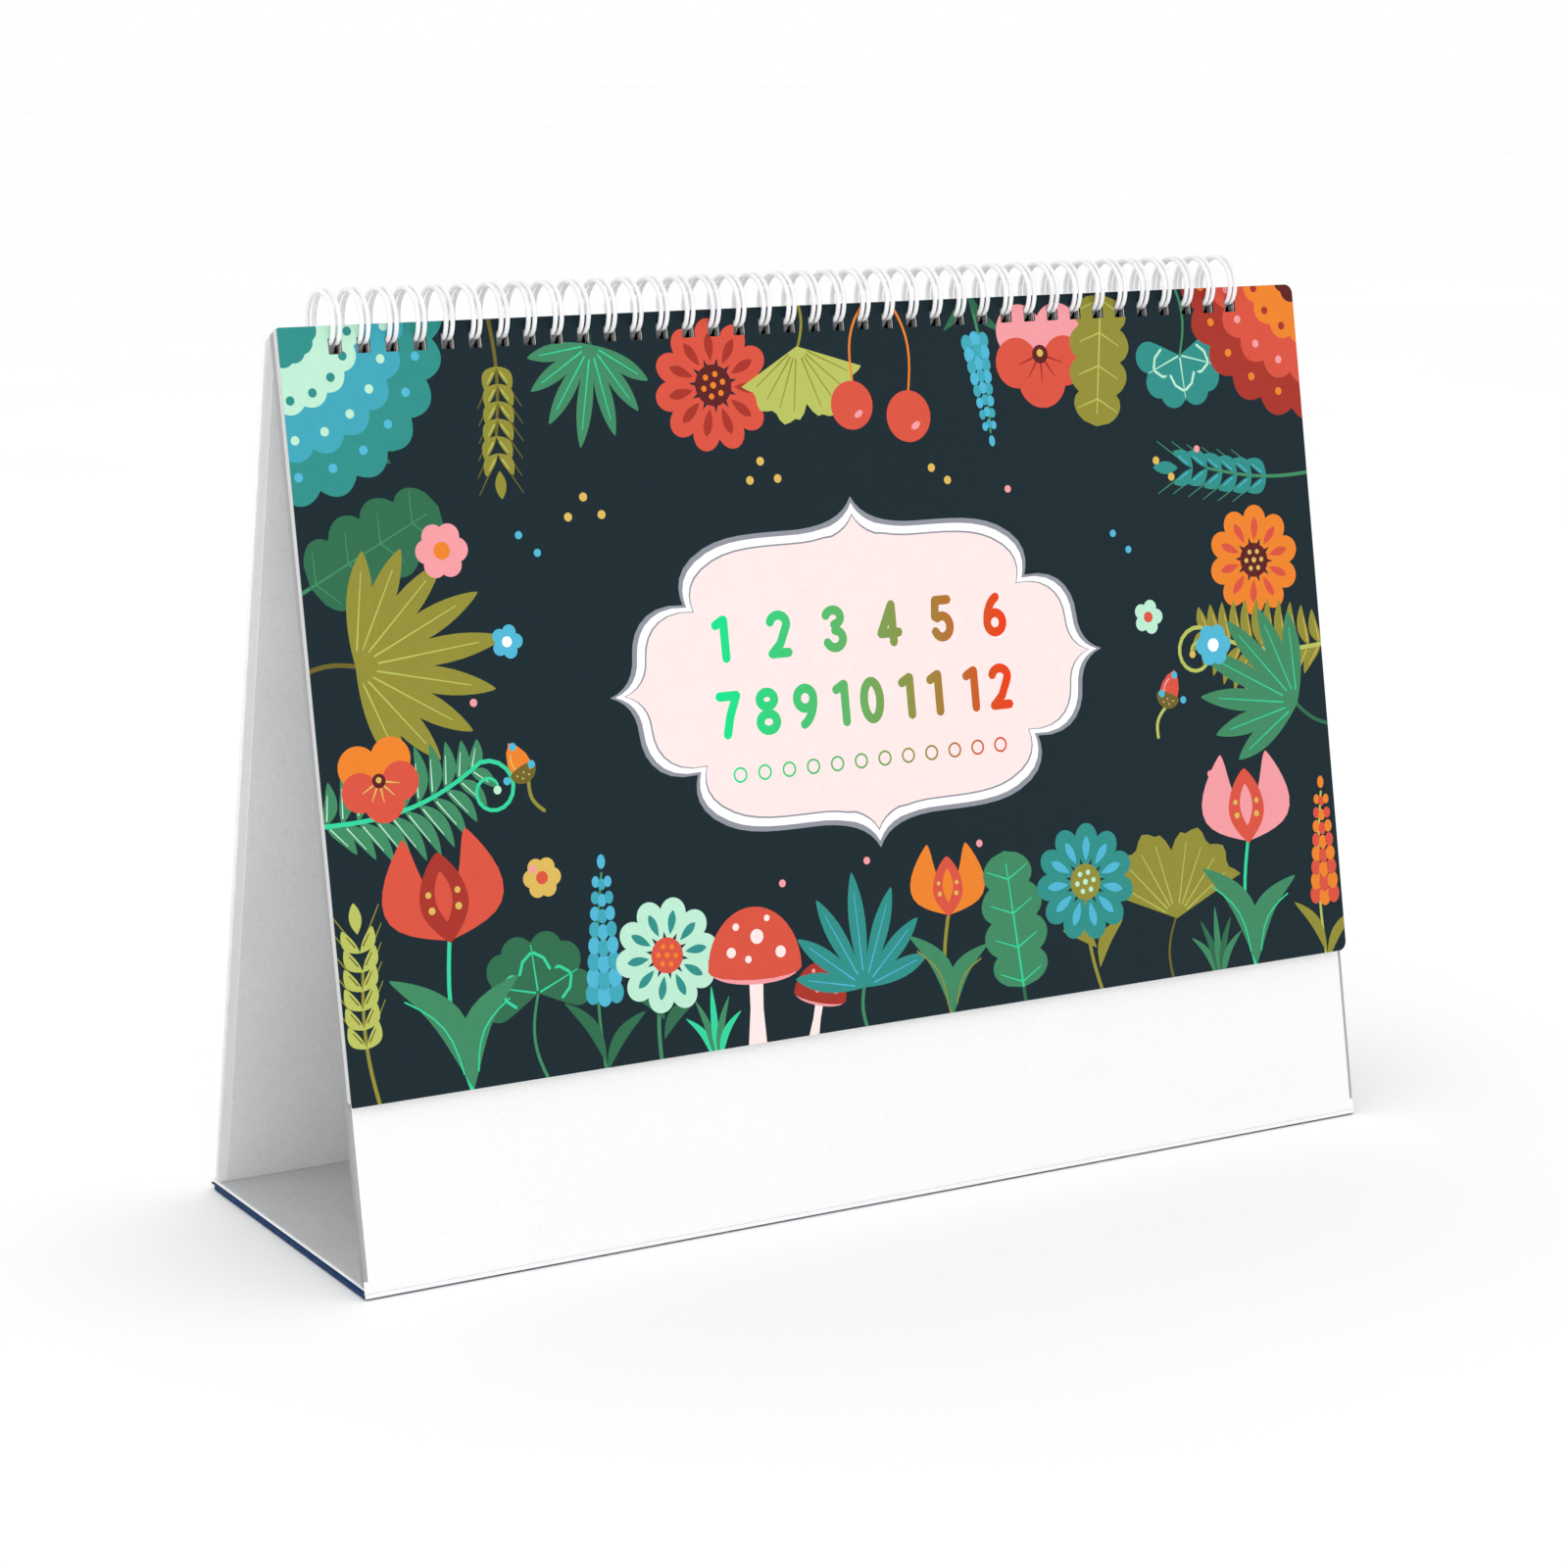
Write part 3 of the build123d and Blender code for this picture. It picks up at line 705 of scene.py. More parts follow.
def month_art(month, first, days, accent, tint, motif):
    """One printed month: a large number, a plant and a ruled grid of days."""
    A = Art()
    left, right, low, high = -72.0, 118.0, 10.0, 128.0
    rows = (first + days + 6) // 7
    cw, rh = (right - left) / 7, (high - low) / rows
    A.add(box_pts(left, high + 1.5, right, high + 8.5), accent)
    for c in range(7):
        A.disc(left + (c + 0.5) * cw, high + 5.0, 1.1, "white", n=12)
    A.add(box_pts(left, low, left + cw, high), "pale")
    for c in range(8):
        x = left + c * cw
        A.add(box_pts(x - 0.12, low, x + 0.12, high), "grid")
    for r in range(rows + 1):
        y = high - r * rh
        A.add(box_pts(left - 0.12, y - 0.12, right + 0.12, y + 0.12), "grid")
    for d in range(1, days + 1):
        k = first + d - 1
        c, r = k % 7, k // 7
        number(A, d, left + c * cw + 5.6, high - r * rh - 7.6, 5.2, 0.15, "coral" if c == 0 else "ground")
    number(A, month, -101.0, 112.0, 21.0, 0.17, accent)
    A.place(-101, 16, 0, 1.0)
    motif(A)
    A.place(0, 0)
    for i in range(9):
        A.disc(-117 + i * 4.0, 102.0, 0.6, tint, n=9)
    for y in (8.0,):
        A.add(box_pts(-122, y, -80, y + 0.4), "grid")
    return A.shapes
# ------------------------------------------------------------------ ART END


# ------------------------------------------------------------------ mesh tools
def linear(c):
    return tuple(v / 12.92 if v <= 0.04045 else ((v + 0.055) / 1.055) ** 2.4 for v in c[:3])


class Builder:
    """Collects one piece's faces, in millimetres, with ink, map places and edge wear."""

    def __init__(self):
        self.verts, self.edge = [], []
        self.faces, self.slot, self.smooth, self.ink, self.uv = [], [], [], [], []

    def vert(self, p, edge=0.0):
        self.verts.append((p[0] / 1000, p[1] / 1000, p[2] / 1000))
        self.edge.append(edge)
        return len(self.verts) - 1

    def face(self, corners, ink=(1.0, 1.0, 1.0), uv=None, slot=0, smooth=False):
        self.faces.append(tuple(corners))
        self.slot.append(slot)
        self.smooth.append(smooth)
        self.ink.append(ink if isinstance(ink, list) else [ink] * len(corners))
        self.uv.append(uv or [(0.0, 0.0)] * len(corners))

    def make(self, name, materials, with_ink=False, with_uv=False):
        me = bpy.data.meshes.new(name)
        me.from_pydata(self.verts, [], self.faces)
        me.polygons.foreach_set("material_index", self.slot)
        me.polygons.foreach_set("use_smooth", self.smooth)
        wear = me.attributes.new("edge", "FLOAT", "POINT")
        wear.data.foreach_set("value", self.edge)
        if with_ink:
            ink = me.attributes.new("ink", "FLOAT_COLOR", "CORNER")
            flat = []
            for corners in self.ink:
                for c in corners:
                    flat.extend((c[0], c[1], c[2], 1.0))
            ink.data.foreach_set("color", flat)
        if with_uv:
            layer = me.uv_layers.new(name="OFBake")
            flat = []
            for corners in self.uv:
                for u in corners:
                    flat.extend(u)
            layer.uv.foreach_set("vector", flat)
        me.update()
        ob = bpy.data.objects.new(name, me)
        bpy.context.scene.collection.objects.link(ob)
        for m in materials:
            me.materials.append(m)
        return ob


def signed_area(poly):
    return sum(a[0] * b[1] - b[0] * a[1] for a, b in zip(poly, poly[1:] + poly[:1])) / 2


def turned_left(poly):
    return poly if signed_area(poly) > 0 else poly[::-1]


def inset(loop, by):
    """Moves a boundary loop into the material on its left."""
    if not by:
        return list(loop)
    out = []
    n = len(loop)
    for i in range(n):
        ax, ay = loop[i - 1]
        bx, by_ = loop[i]
        cx, cy = loop[(i + 1) % n]
        d0, d1 = math.hypot(bx - ax, by_ - ay) or 1e-9, math.hypot(cx - bx, cy - by_) or 1e-9
        n0 = (-(by_ - ay) / d0, (bx - ax) / d0)
        n1 = (-(cy - by_) / d1, (cx - bx) / d1)
        k = max(0.2, 1 + n0[0] * n1[0] + n0[1] * n1[1])
        out.append((bx + by * (n0[0] + n1[0]) / k, by_ + by * (n0[1] + n1[1]) / k))
    return out


def fill(loops, shapes):
    """Triangles between an outer loop and its holes, each with the topmost shape that it lies in."""
    points, faces = [], []
    for loop in loops:
        start = len(points)
        points.extend(loop)
        index = list(range(start, start + len(loop)))
        faces.append(index if signed_area(loop) > 0 else index[::-1])
    held = len(points)
    for poly, _ in shapes:
        poly = turned_left(poly)
        start = len(points)
        points.extend(poly)
        faces.append(list(range(start, start + len(poly))))
    verts, _, tris, origin, _, owners = delaunay_2d_cdt([Vector(p) for p in points], [], faces, 1, 1e-5)
    holes = set(range(1, len(loops)))
    kept, top = [], []
    for tri, own in zip(tris, owners):
        if 0 not in own or holes.intersection(own):
            continue
        a, b, c = (verts[i] for i in tri)
        if (b.x - a.x) * (c.y - a.y) - (c.x - a.x) * (b.y - a.y) < 0:
            tri = tri[::-1]
        last = max(own)
        kept.append(tuple(tri))
        top.append(last - len(loops) if last >= len(loops) else -1)
    source = {}
    for i, froms in enumerate(origin):
        for k in froms:
            if k < held:
                source[i] = k
                break
    return [(v.x, v.y) for v in verts], kept, top, source


def rims(points, tris):
    """The boundary loops of a set of triangles, the longest first."""
    seen = set()
    for a, b, c in tris:
        seen.update(((a, b), (b, c), (c, a)))
    follow = {a: b for a, b in seen if (b, a) not in seen}
    loops = []
    while follow:
        first, at = next(iter(follow.items()))
        loop = [first]
        del follow[first]
        while at != first:
            loop.append(at)
            at = follow.pop(at)
        loops.append(loop)
    loops.sort(key=lambda loop: -abs(signed_area([points[i] for i in loop])))
    return loops


def slab(name, place, outline, holes, rings, hole_rings, materials, outer=(), inner=(), ground="paper", back_ground="paper",
         wall="card", hole_wall="pit", wall_slot=lambda row, dx, dy: 0, hole_slot=0, back_slot=0, uv=None, sheet=False, round_edges=False):
    """A flat piece: printed or plain on both faces, with rounded or square edges and punched holes.
    rings run from the outer face to the inner one, each an inset and a depth; wall_slot picks the material
    of an edge face from its row and the way its side of the outline runs."""
    B = Builder()
    start = [turned_left(outline)] + [turned_left(h)[::-1] for h in holes]
    points, tris, top, _ = fill(start, outer)
    loops = rims(points, tris)
    flats = [[points[i] for i in loop] for loop in loops]
    depth, last = rings[0][1], rings[-1][1]
    ring_ids, at = [], {}
    for k, (loop, flat) in enumerate(zip(loops, flats)):
        stack = []
        profile = rings if k == 0 else hole_rings
        for j, (by, d) in enumerate(profile):
            worn = 1.0 if 0 < j < len(profile) - 1 else 0.0
            stack.append([B.vert(place(x, y, d), worn) for x, y in inset(flat, by)])
        ring_ids.append(stack)
        for i, v in zip(loop, stack[0]):
            at[i] = v
    used = {i for tri in tris for i in tri}
    for i, (x, y) in enumerate(points):
        if i in used and i not in at:
            at[i] = B.vert(place(x, y, depth))
    base = linear(INK[ground])
    for tri, t in zip(tris, top):
        if t < 0:
            ink = base
        elif outer[t][1] == "blend":
            ink = [linear(blend_ink(points[i][0])) for i in tri]
        else:
            ink = linear(INK[outer[t][1]])
        B.face([at[i] for i in tri], ink, [uv(*points[i], 0) for i in tri] if uv else None)
    for k, stack in enumerate(ring_ids):
        edge_ink = linear(INK[hole_wall if k else wall])
        n = len(stack[0])
        for j in range(len(stack) - 1):
            for i in range(n):
                m = (i + 1) % n
                corners = (stack[j][i], stack[j + 1][i], stack[j + 1][m], stack[j][m])
                u = None
                if uv:
                    u0, u1, v0, v1 = i / n, (i + 1) / n, j / (len(stack) - 1), (j + 1) / (len(stack) - 1)
                    u = [uv(u0, v0, 2 + k), uv(u0, v1, 2 + k), uv(u1, v1, 2 + k), uv(u1, v0, 2 + k)]
                slot = hole_slot if k else wall_slot(j, flats[k][m][0] - flats[k][i][0], flats[k][m][1] - flats[k][i][1])
                B.face(corners, edge_ink, u, slot, smooth=round_edges and k == 0)
    ends = []
    owner = []
    for k, (stack, flat) in enumerate(zip(ring_ids, flats)):
        ends.append(inset(flat, (rings if k == 0 else hole_rings)[-1][0]))
        owner.extend(stack[-1])
    points, tris, top, source = fill(ends, inner)
    used = sorted({i for tri in tris for i in tri})
    at = {i: owner[source[i]] if i in source else B.vert(place(*points[i], last)) for i in used}
    base = linear(INK[back_ground])
    for tri, t in zip(tris, top):
        ink = base if t < 0 else linear(INK[inner[t][1]])
        B.face([at[i] for i in tri[::-1]], ink, [uv(*points[i], 1) for i in tri[::-1]] if uv else None, back_slot)
    return B.make(name, materials, with_ink=sheet, with_uv=bool(uv))


def box_loop(x0, y0, x1, y1, r=0.0, n=4, square=()):
    """A rectangle's corners, rounded; corners named in square stay sharp (0 lower left, then counter-clockwise)."""
    out = []
    radii = r if isinstance(r, tuple) else (r,) * 4
    for k, (cx, cy, a) in enumerate(((x0, y0, 180), (x1, y0, 270), (x1, y1, 0), (x0, y1, 90))):
        r = radii[k]
        if not r or k in square:
            out.append((cx, cy))
            continue
        ox, oy = cx + (r if k in (0, 3) else -r), cy + (r if k in (0, 1) else -r)
        out.extend(
            (ox + r * math.cos(math.radians(a + 90 * i / n)), oy + r * math.sin(math.radians(a + 90 * i / n))) for i in range(n + 1)
        )
    return out


def punched(width, top, bottom, r=0.35):
    return [
        box_loop(ROW_X + (i - (LOOPS - 1) / 2) * PITCH - width / 2, -bottom, ROW_X + (i - (LOOPS - 1) / 2) * PITCH + width / 2, -top, r, 2)
        for i in range(LOOPS)
    ]


def mirrored(polys):
    return [[(-x, y) for x, y in p] for p in polys]


# ------------------------------------------------------------------ materials
def new_material(name):
    m = bpy.data.materials.new(name)
    m.use_nodes = True
    nt = m.node_tree
    return m, nt, nt.nodes["Principled BSDF"]


def coords(nt):
    return nt.nodes.new("ShaderNodeTexCoord").outputs["Object"]


def noise(nt, where, scale, detail=2.0, rough=0.5):
    t = nt.nodes.new("ShaderNodeTexNoise")
    t.inputs["Scale"].default_value = scale
    t.inputs["Detail"].default_value = detail
    t.inputs["Roughness"].default_value = rough
    nt.links.new(where, t.inputs["Vector"])
    return t.outputs["Fac"]


def ramp(nt, value, stops):
    r = nt.nodes.new("ShaderNodeValToRGB")
    while len(r.color_ramp.elements) < len(stops):
        r.color_ramp.elements.new(0.5)
    for e, (pos, col) in zip(r.color_ramp.elements, stops):
        e.position = pos
        e.color = (*col, 1.0)
    nt.links.new(value, r.inputs["Fac"])
    return r.outputs["Color"]


def span(nt, value, low, high, a=0.3, b=0.7):
    r = nt.nodes.new("ShaderNodeMapRange")
    r.inputs["From Min"].default_value = a
    r.inputs["From Max"].default_value = b
    r.inputs["To Min"].default_value = low
    r.inputs["To Max"].default_value = high
    nt.links.new(value, r.inputs["Value"])
    return r.outputs["Result"]


def mixed(nt, a, b, fac=1.0, how="MIX"):
    m = nt.nodes.new("ShaderNodeMix")
    m.data_type = "RGBA"
    m.blend_type = how
    if isinstance(fac, float):
        m.inputs[0].default_value = fac
    else:
        nt.links.new(fac, m.inputs[0])
    for socket, v in ((m.inputs[6], a), (m.inputs[7], b)):
        if isinstance(v, tuple):
            socket.default_value = (*v, 1.0)
        else:
            nt.links.new(v, socket)
    return m.outputs[2]


def product(nt, a, b):
    m = nt.nodes.new("ShaderNodeMath")
    m.operation = "MULTIPLY"
    nt.links.new(a, m.inputs[0])
    nt.links.new(b, m.inputs[1])
    return m.outputs[0]


def bumps(nt, shader, *layers):
    """Stacks bump maps: each layer is a height socket, a strength and a distance in metres."""
    before = None
    for height, strength, distance in layers:
        b = nt.nodes.new("ShaderNodeBump")
        b.inputs["Strength"].default_value = strength
        b.inputs["Distance"].default_value = distance
        nt.links.new(height, b.inputs["Height"])
        if before:
            nt.links.new(before, b.inputs["Normal"])
        before = b.outputs["Normal"]
    nt.links.new(before, shader.inputs["Normal"])


def attribute(nt, name, out):
    a = nt.nodes.new("ShaderNodeAttribute")
    a.attribute_name = name
    return a.outputs[out]


def paper(name, light, dark, worn, rough=0.5, fleck=None, gloss=0.45, grain=0.97):
    """Wrapped or lining paper: cloudy tone, fine fibre, and edges rubbed where they fold."""
    m, nt, s = new_material(name)
    where = coords(nt)
    cloud = noise(nt, where, 38.0, 3.0, 0.55)
    fibre = noise(nt, where, 1150.0, 3.0, 0.6)
    colour = ramp(nt, cloud, [(0.3, dark), (0.7, light)])
    colour = mixed(nt, colour, ramp(nt, fibre, [(0.3, (grain, grain, grain)), (0.6, (1.0, 1.0, 1.0))]), 1.0, "MULTIPLY")
    if fleck:
        spots = noise(nt, where, 620.0, 1.0, 0.4)
        colour = mixed(nt, colour, fleck, span(nt, spots, 0.0, 0.5, 0.66, 0.74))
    rub = product(nt, attribute(nt, "edge", "Fac"), span(nt, noise(nt, where, 160.0, 4.0, 0.7), 0.0, 0.8, 0.42, 0.72))
    colour = mixed(nt, colour, worn, rub)
    nt.links.new(colour, s.inputs["Base Color"])
    nt.links.new(span(nt, noise(nt, where, 90.0, 3.0), rough - 0.02, rough + 0.03), s.inputs["Roughness"])
    s.inputs["Specular IOR Level"].default_value = gloss
    bumps(nt, s, (noise(nt, where, 7.0, 1.0), 0.15, 0.0008), (fibre, 0.1, 0.00003))
    return m


def printed(name, rough, gloss, weave, coat=0.0):
    """Printed card: the ink's colour from the mesh, with press mottle, fibre and a faint wave of the sheet."""
    m, nt, s = new_material(name)
    where = coords(nt)
    fibre = noise(nt, where, 1300.0, 3.0, 0.6)
    mottle = noise(nt, where, 240.0, 3.0, 0.6)
    ink = attribute(nt, "ink", "Color")
    colour = mixed(nt, ink, ramp(nt, mottle, [(0.3, (0.972, 0.974, 0.976)), (0.68, (1.0, 1.0, 1.0))]), 1.0, "MULTIPLY")
    colour = mixed(nt, colour, ramp(nt, fibre, [(0.32, (0.965, 0.965, 0.965)), (0.62, (1.0, 1.0, 1.0))]), 1.0, "MULTIPLY")
    nt.links.new(colour, s.inputs["Base Color"])
    nt.links.new(span(nt, noise(nt, where, 70.0, 4.0, 0.6), rough - 0.03, rough + 0.04), s.inputs["Roughness"])
    s.inputs["Specular IOR Level"].default_value = gloss
    s.inputs["Coat Weight"].default_value = coat
    s.inputs["Coat Roughness"].default_value = 0.35
    bumps(nt, s, (noise(nt, where, 9.0, 2.0, 0.45), 0.3, 0.002), (fibre, weave, 0.00003))
    return m


def plastic_wire():
    """Nylon-coated binding wire: bright white, with a soft sheen and slight ripples."""
    m, nt, s = new_material("white_coated_wire")
    where = coords(nt)
    tone = noise(nt, where, 210.0, 3.0, 0.6)
    nt.links.new(ramp(nt, tone, [(0.3, (0.80, 0.805, 0.82)), (0.65, (0.90, 0.90, 0.905))]), s.inputs["Base Color"])
    nt.links.new(span(nt, noise(nt, where, 520.0, 3.0, 0.6), 0.2, 0.33), s.inputs["Roughness"])
    s.inputs["Coat Weight"].default_value = 0.35
    s.inputs["Coat Roughness"].default_value = 0.12
    bumps(nt, s, (noise(nt, where, 480.0, 2.0, 0.5), 0.12, 0.00006))
    return m


def rubber():
    """Dark blue non-slip underlay with a pebbled grain."""
    m, nt, s = new_material("dark_blue_underlay")
    where = coords(nt)
    grain = nt.nodes.new("ShaderNodeTexVoronoi")
    grain.feature = "SMOOTH_F1"
    grain.inputs["Scale"].default_value = 780.0
    grain.inputs["Smoothness"].default_value = 0.6
    nt.links.new(where, grain.inputs["Vector"])
    tone = noise(nt, where, 130.0, 4.0, 0.6)
    colour = ramp(nt, tone, [(0.3, (0.000, 0.022, 0.085)), (0.7, (0.001, 0.038, 0.130))])
    colour = mixed(nt, colour, ramp(nt, grain.outputs["Distance"], [(0.1, (0.82, 0.84, 0.88)), (0.6, (1.0, 1.0, 1.0))]), 1.0, "MULTIPLY")
    nt.links.new(colour, s.inputs["Base Color"])
    nt.links.new(span(nt, noise(nt, where, 300.0, 3.0), 0.5, 0.68), s.inputs["Roughness"])
    s.inputs["Specular IOR Level"].default_value = 0.15
    bumps(nt, s, (grain.outputs["Distance"], 0.35, 0.0001))
    return m


def board_core():
    """Walls of the punched holes, in sheets and boards alike: near-black, as painted shade inside the holes, with a
    fibrous bump.
    """
    m, nt, s = new_material("painted_shade_hole_wall")
    where = coords(nt)
    fibre = noise(nt, where, 900.0, 4.0, 0.65)
    nt.links.new(ramp(nt, fibre, [(0.3, (0.010, 0.009, 0.010)), (0.7, (0.024, 0.022, 0.023))]), s.inputs["Base Color"])
    s.inputs["Roughness"].default_value = 0.9
    s.inputs["Specular IOR Level"].default_value = 0.02
    bumps(nt, s, (fibre, 0.4, 0.00008))
    return m


WRAP = paper("white_wrap_paper", (0.895, 0.895, 0.895), (0.883, 0.884, 0.887), (0.77, 0.77, 0.78), 0.42)
# The front panel's upright side edges: white wrap painted mid grey, as painted shade on those edges.
SHADE_GREY_SIDE = paper("painted_shade_edge_paper", (0.39, 0.392, 0.398), (0.36, 0.362, 0.37), (0.34, 0.34, 0.35), 0.6, gloss=0.2)
# The panels' lining: white paper tinted light grey, as painted shade for the inside of the stand.
SHADE_TINTED_LINING = paper("painted_shade_lining_paper", (0.81, 0.813, 0.82), (0.77, 0.774, 0.782), (0.72, 0.72, 0.73), 0.62, fleck=(0.70, 0.70, 0.71), gloss=0.3, grain=0.94)
# The base's lining: the same paper painted a darker grey, as painted shade deeper down on the floor of the stand.
DEEP_SHADE_BASE_LINING = paper("painted_deep_shade_base_paper", (0.60, 0.603, 0.61), (0.55, 0.554, 0.562), (0.52, 0.52, 0.53), 0.62, fleck=(0.48, 0.48, 0.49), gloss=0.3, grain=0.94)
CARD = printed("printed_cover_card", 0.5, 0.1, 0.12)
LEAF = printed("printed_leaf_paper", 0.6, 0.3, 0.2)
WIRE = plastic_wire()
PAD = rubber()
# Painted shade: near-black walls for every punched hole.
HOLE_SHADE = board_core()

# ------------------------------------------------------------------ cover
SHEET_HOLES = punched(3.0, 3.7, 7.0, 0.2)
CORNERS = (0.5, 2.2, 2.2, 0.5)
ROUND = [(0.95, 0.0), (0.4, 0.0), (0.27, 0.02), (0.12, 0.1), (0.03, 0.22), (0.0, 0.38)]


def shifted(shapes, dy):
    """Art drawn from a sheet's lower edge, moved into the panel's own axes."""
    return [([(x, y + dy) for x, y in p], ink) for p, ink in shapes]


def sheet_uv(height, split=0.5):
    """Both faces of a sheet share one map, and the cut edges run in strips between them."""

    def uv(x, y, side):
        if side == 0:
            return 0.01 + 0.98 * (x / WIDTH + 0.5), split + 0.03 + (0.96 - split) * ((y + SHEET_TOP + height) / height)
        if side == 1:
            return 0.01 + 0.98 * (0.5 - x / WIDTH), 0.01 + (split - 0.03) * ((y + SHEET_TOP + height) / height)
        if side == 2:
            return 0.01 + 0.98 * x, split - 0.012 + 0.012 * y
        k = side - 3
        return 0.01 + 0.98 * (k + 0.1 + 0.8 * x) / LOOPS, split + 0.008 + 0.012 * y

    return uv


# Its cut edges take the mid-grey edge ink, painted shade.
cover = slab(
    "cover_sheet", on_front,
    box_loop(-WIDTH / 2, -SHEET_TOP - COVER_H, WIDTH / 2, -SHEET_TOP, CORNERS, 6), SHEET_HOLES,
    [(0.03, 4.65), (0.0, 4.62), (0.0, 4.38), (0.03, 4.35)], [(0.0, 4.65), (0.0, 4.35)],
    [CARD, HOLE_SHADE], hole_slot=1, outer=shifted(cover_art(), -SHEET_TOP - COVER_H), ground="ground", back_ground="card", wall="edge", uv=sheet_uv(COVER_H, 0.3), sheet=True,
)
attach(cover, "cover")
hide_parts("cover", "cover_hinge_line")

# ------------------------------------------------------------------ month leaves
MOTIFS = [
    lambda A: tulip(A, 70, "coral", "brick", "spring", "green"),
    lambda A: palm(A, 62, "teal", "sky", "green", 9, 150),
    lambda A: spike(A, 74, "aqua", "sky", "green", "moss"),
    lambda A: oak(A, 70, "olive", "lime", "bark"),
    lambda A: cherries(A, 60, "coral", "rose", "olive", "green", "spring"),
    lambda A: ginkgo(A, 62, "lime", "olive", "bark"),
    lambda A: wheat(A, 76, "olive", "bark", "lime"),
    lambda A: crozier(A, 68, "green", "teal", "mint"),
    lambda A: toadstool(A, 52, "coral", "blush", "gold", "rose"),
    lambda A: bells(A, 60, "sky", "rose", "green"),
    lambda A: tulip(A, 70, "orange", "coral", "olive", "olive"),
    lambda A: palm(A, 62, "olive", "lime", "bark", 7, 140),
]
ACCENTS = ["teal", "coral", "green", "orange", "aqua", "brick", "olive", "rose", "moss", "sky", "bark", "teal"]
TINTS = ["rose", "teal", "coral", "aqua", "orange", "olive", "rose", "green", "gold", "coral", "sky", "brick"]
DAYS = [31, 28, 31, 30, 31, 30, 31, 31, 30, 31, 30, 31]
for n in range(1, 10):
    pages = []
    for side in (0, 1):
        k = 6 + 2 * (n - 1) + side
        first = sum(DAYS[i % 12] for i in range(6, k)) % 7
        pages.append(month_art(k % 12 + 1, (first + 2) % 7, DAYS[k % 12], ACCENTS[k % 12], TINTS[k % 12], MOTIFS[k % 12]))
    low = 4.25 - 0.2 * n
    dx, dy = 0.12 * math.sin(2.3 * n), 0.1 * math.sin(4.1 * n + 1)
    back_page = [([(-x, y) for x, y in p], ink) for p, ink in shifted(pages[1], -SHEET_TOP - LEAF_H)]
    # Cut edges in the mid-grey edge ink, painted shade.
    leaf = slab(
        f"leaf_sheet_{n}", lambda x, y, d, dx=dx, dy=dy: on_front(x + dx, y + dy, d),
        box_loop(-WIDTH / 2 + 0.13, -SHEET_TOP - LEAF_H + 0.1, WIDTH / 2 - 0.13, -SHEET_TOP - 0.1, CORNERS, 6), SHEET_HOLES,
        [(0.0, low + 0.19), (0.0, low + 0.02)], [(0.0, low + 0.19), (0.0, low + 0.02)],
        [LEAF, HOLE_SHADE], hole_slot=1, outer=shifted(pages[0], -SHEET_TOP - LEAF_H), inner=back_page, wall="edge", uv=sheet_uv(LEAF_H), sheet=True,
    )
    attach(leaf, "leaves")
    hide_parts(*([f"leaf_{n}", "leaves_hinge_line"] if n == 5 else [f"leaf_{n}"]))

# ------------------------------------------------------------------ panels
PANEL_HOLES = punched(3.0, 4.3, 7.9)
FLOOR_Z = 2.30


def panel_foot(d):
    """How far up a panel its lower edge lies at depth d, cut level over the base."""
    return (FLOOR_Z - RING_Z - d * SA) / CA


def cut_level(place, tab=False):
    def at(x, y, d):
        low = 1.40 if tab and 61.9 < abs(x) < 82.1 and y < panel_foot(OUTER) - 0.3 else FLOOR_Z
        p = place(x, y, d)
        if p[2] < low:
            p = place(x, y + (low - p[2]) / CA, d)
        return p

    return at


def wrapped(inner_d, outer_d):
    """Rings of a paper-wrapped edge, from the outer face to the inner one."""
    return [(b, outer_d - d) for b, d in ROUND] + [(b, inner_d + d) for b, d in ROUND[::-1]]


# Its upright side edges take the mid-grey painted-shade paper; the other edges stay white wrap.
front = slab(
    "front_board_wrapped", cut_level(on_front),
    box_loop(-WIDTH / 2, panel_foot(OUTER), WIDTH / 2, -FRONT_TOP, 1.2, 5, square=(0, 1)), PANEL_HOLES,
    wrapped(0.70, OUTER), [(0.0, OUTER), (0.0, 0.70)], [WRAP, HOLE_SHADE, SHADE_GREY_SIDE], hole_slot=1,
    wall_slot=lambda row, dx, dy: 2 if abs(dy) > abs(dx) else 0, round_edges=True,
)
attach(front, "front_panel")
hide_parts("front_board", "front_wrap")

low = panel_foot(OUTER)
tab_low = low - (FLOOR_Z - 1.40) / CA
tabs = [(-WIDTH / 2, low), (-82, low), (-82, tab_low), (-62, tab_low), (-62, low), (62, low), (62, tab_low), (82, tab_low), (82, low)]
back = slab(
    "back_board_wrapped", cut_level(on_back, tab=True),
    tabs + box_loop(-WIDTH / 2, low, WIDTH / 2, -BACK_TOP, 1.2, 5, square=(0, 1))[1:], mirrored(PANEL_HOLES),
    wrapped(0.70, OUTER), [(0.0, OUTER), (0.0, 0.70)], [WRAP, HOLE_SHADE], hole_slot=1, round_edges=True,
)
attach(back, "back_panel")
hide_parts("back_board", "back_wrap")

# The panels' inner linings, in the light grey of painted shade.
for name, place, top, holes, body, node in (
    ("front_lining", on_front, FRONT_TOP, PANEL_HOLES, "front_panel", "front_liner"),
    ("back_lining", on_back, BACK_TOP, mirrored(PANEL_HOLES), "back_panel", "back_liner"),
):
    liner = slab(
        name, cut_level(place),
        box_loop(-WIDTH / 2 + 2.2, panel_foot(0.70), WIDTH / 2 - 2.2, -top - 0.9, 0.8, 3, square=(0, 1)), holes,
        [(0.0, 0.70), (0.0, 0.59), (0.04, 0.55)], [(0.0, 0.70), (0.0, 0.55)], [SHADE_TINTED_LINING, HOLE_SHADE], hole_slot=1, round_edges=True,
    )
    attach(liner, body)
    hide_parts(node)

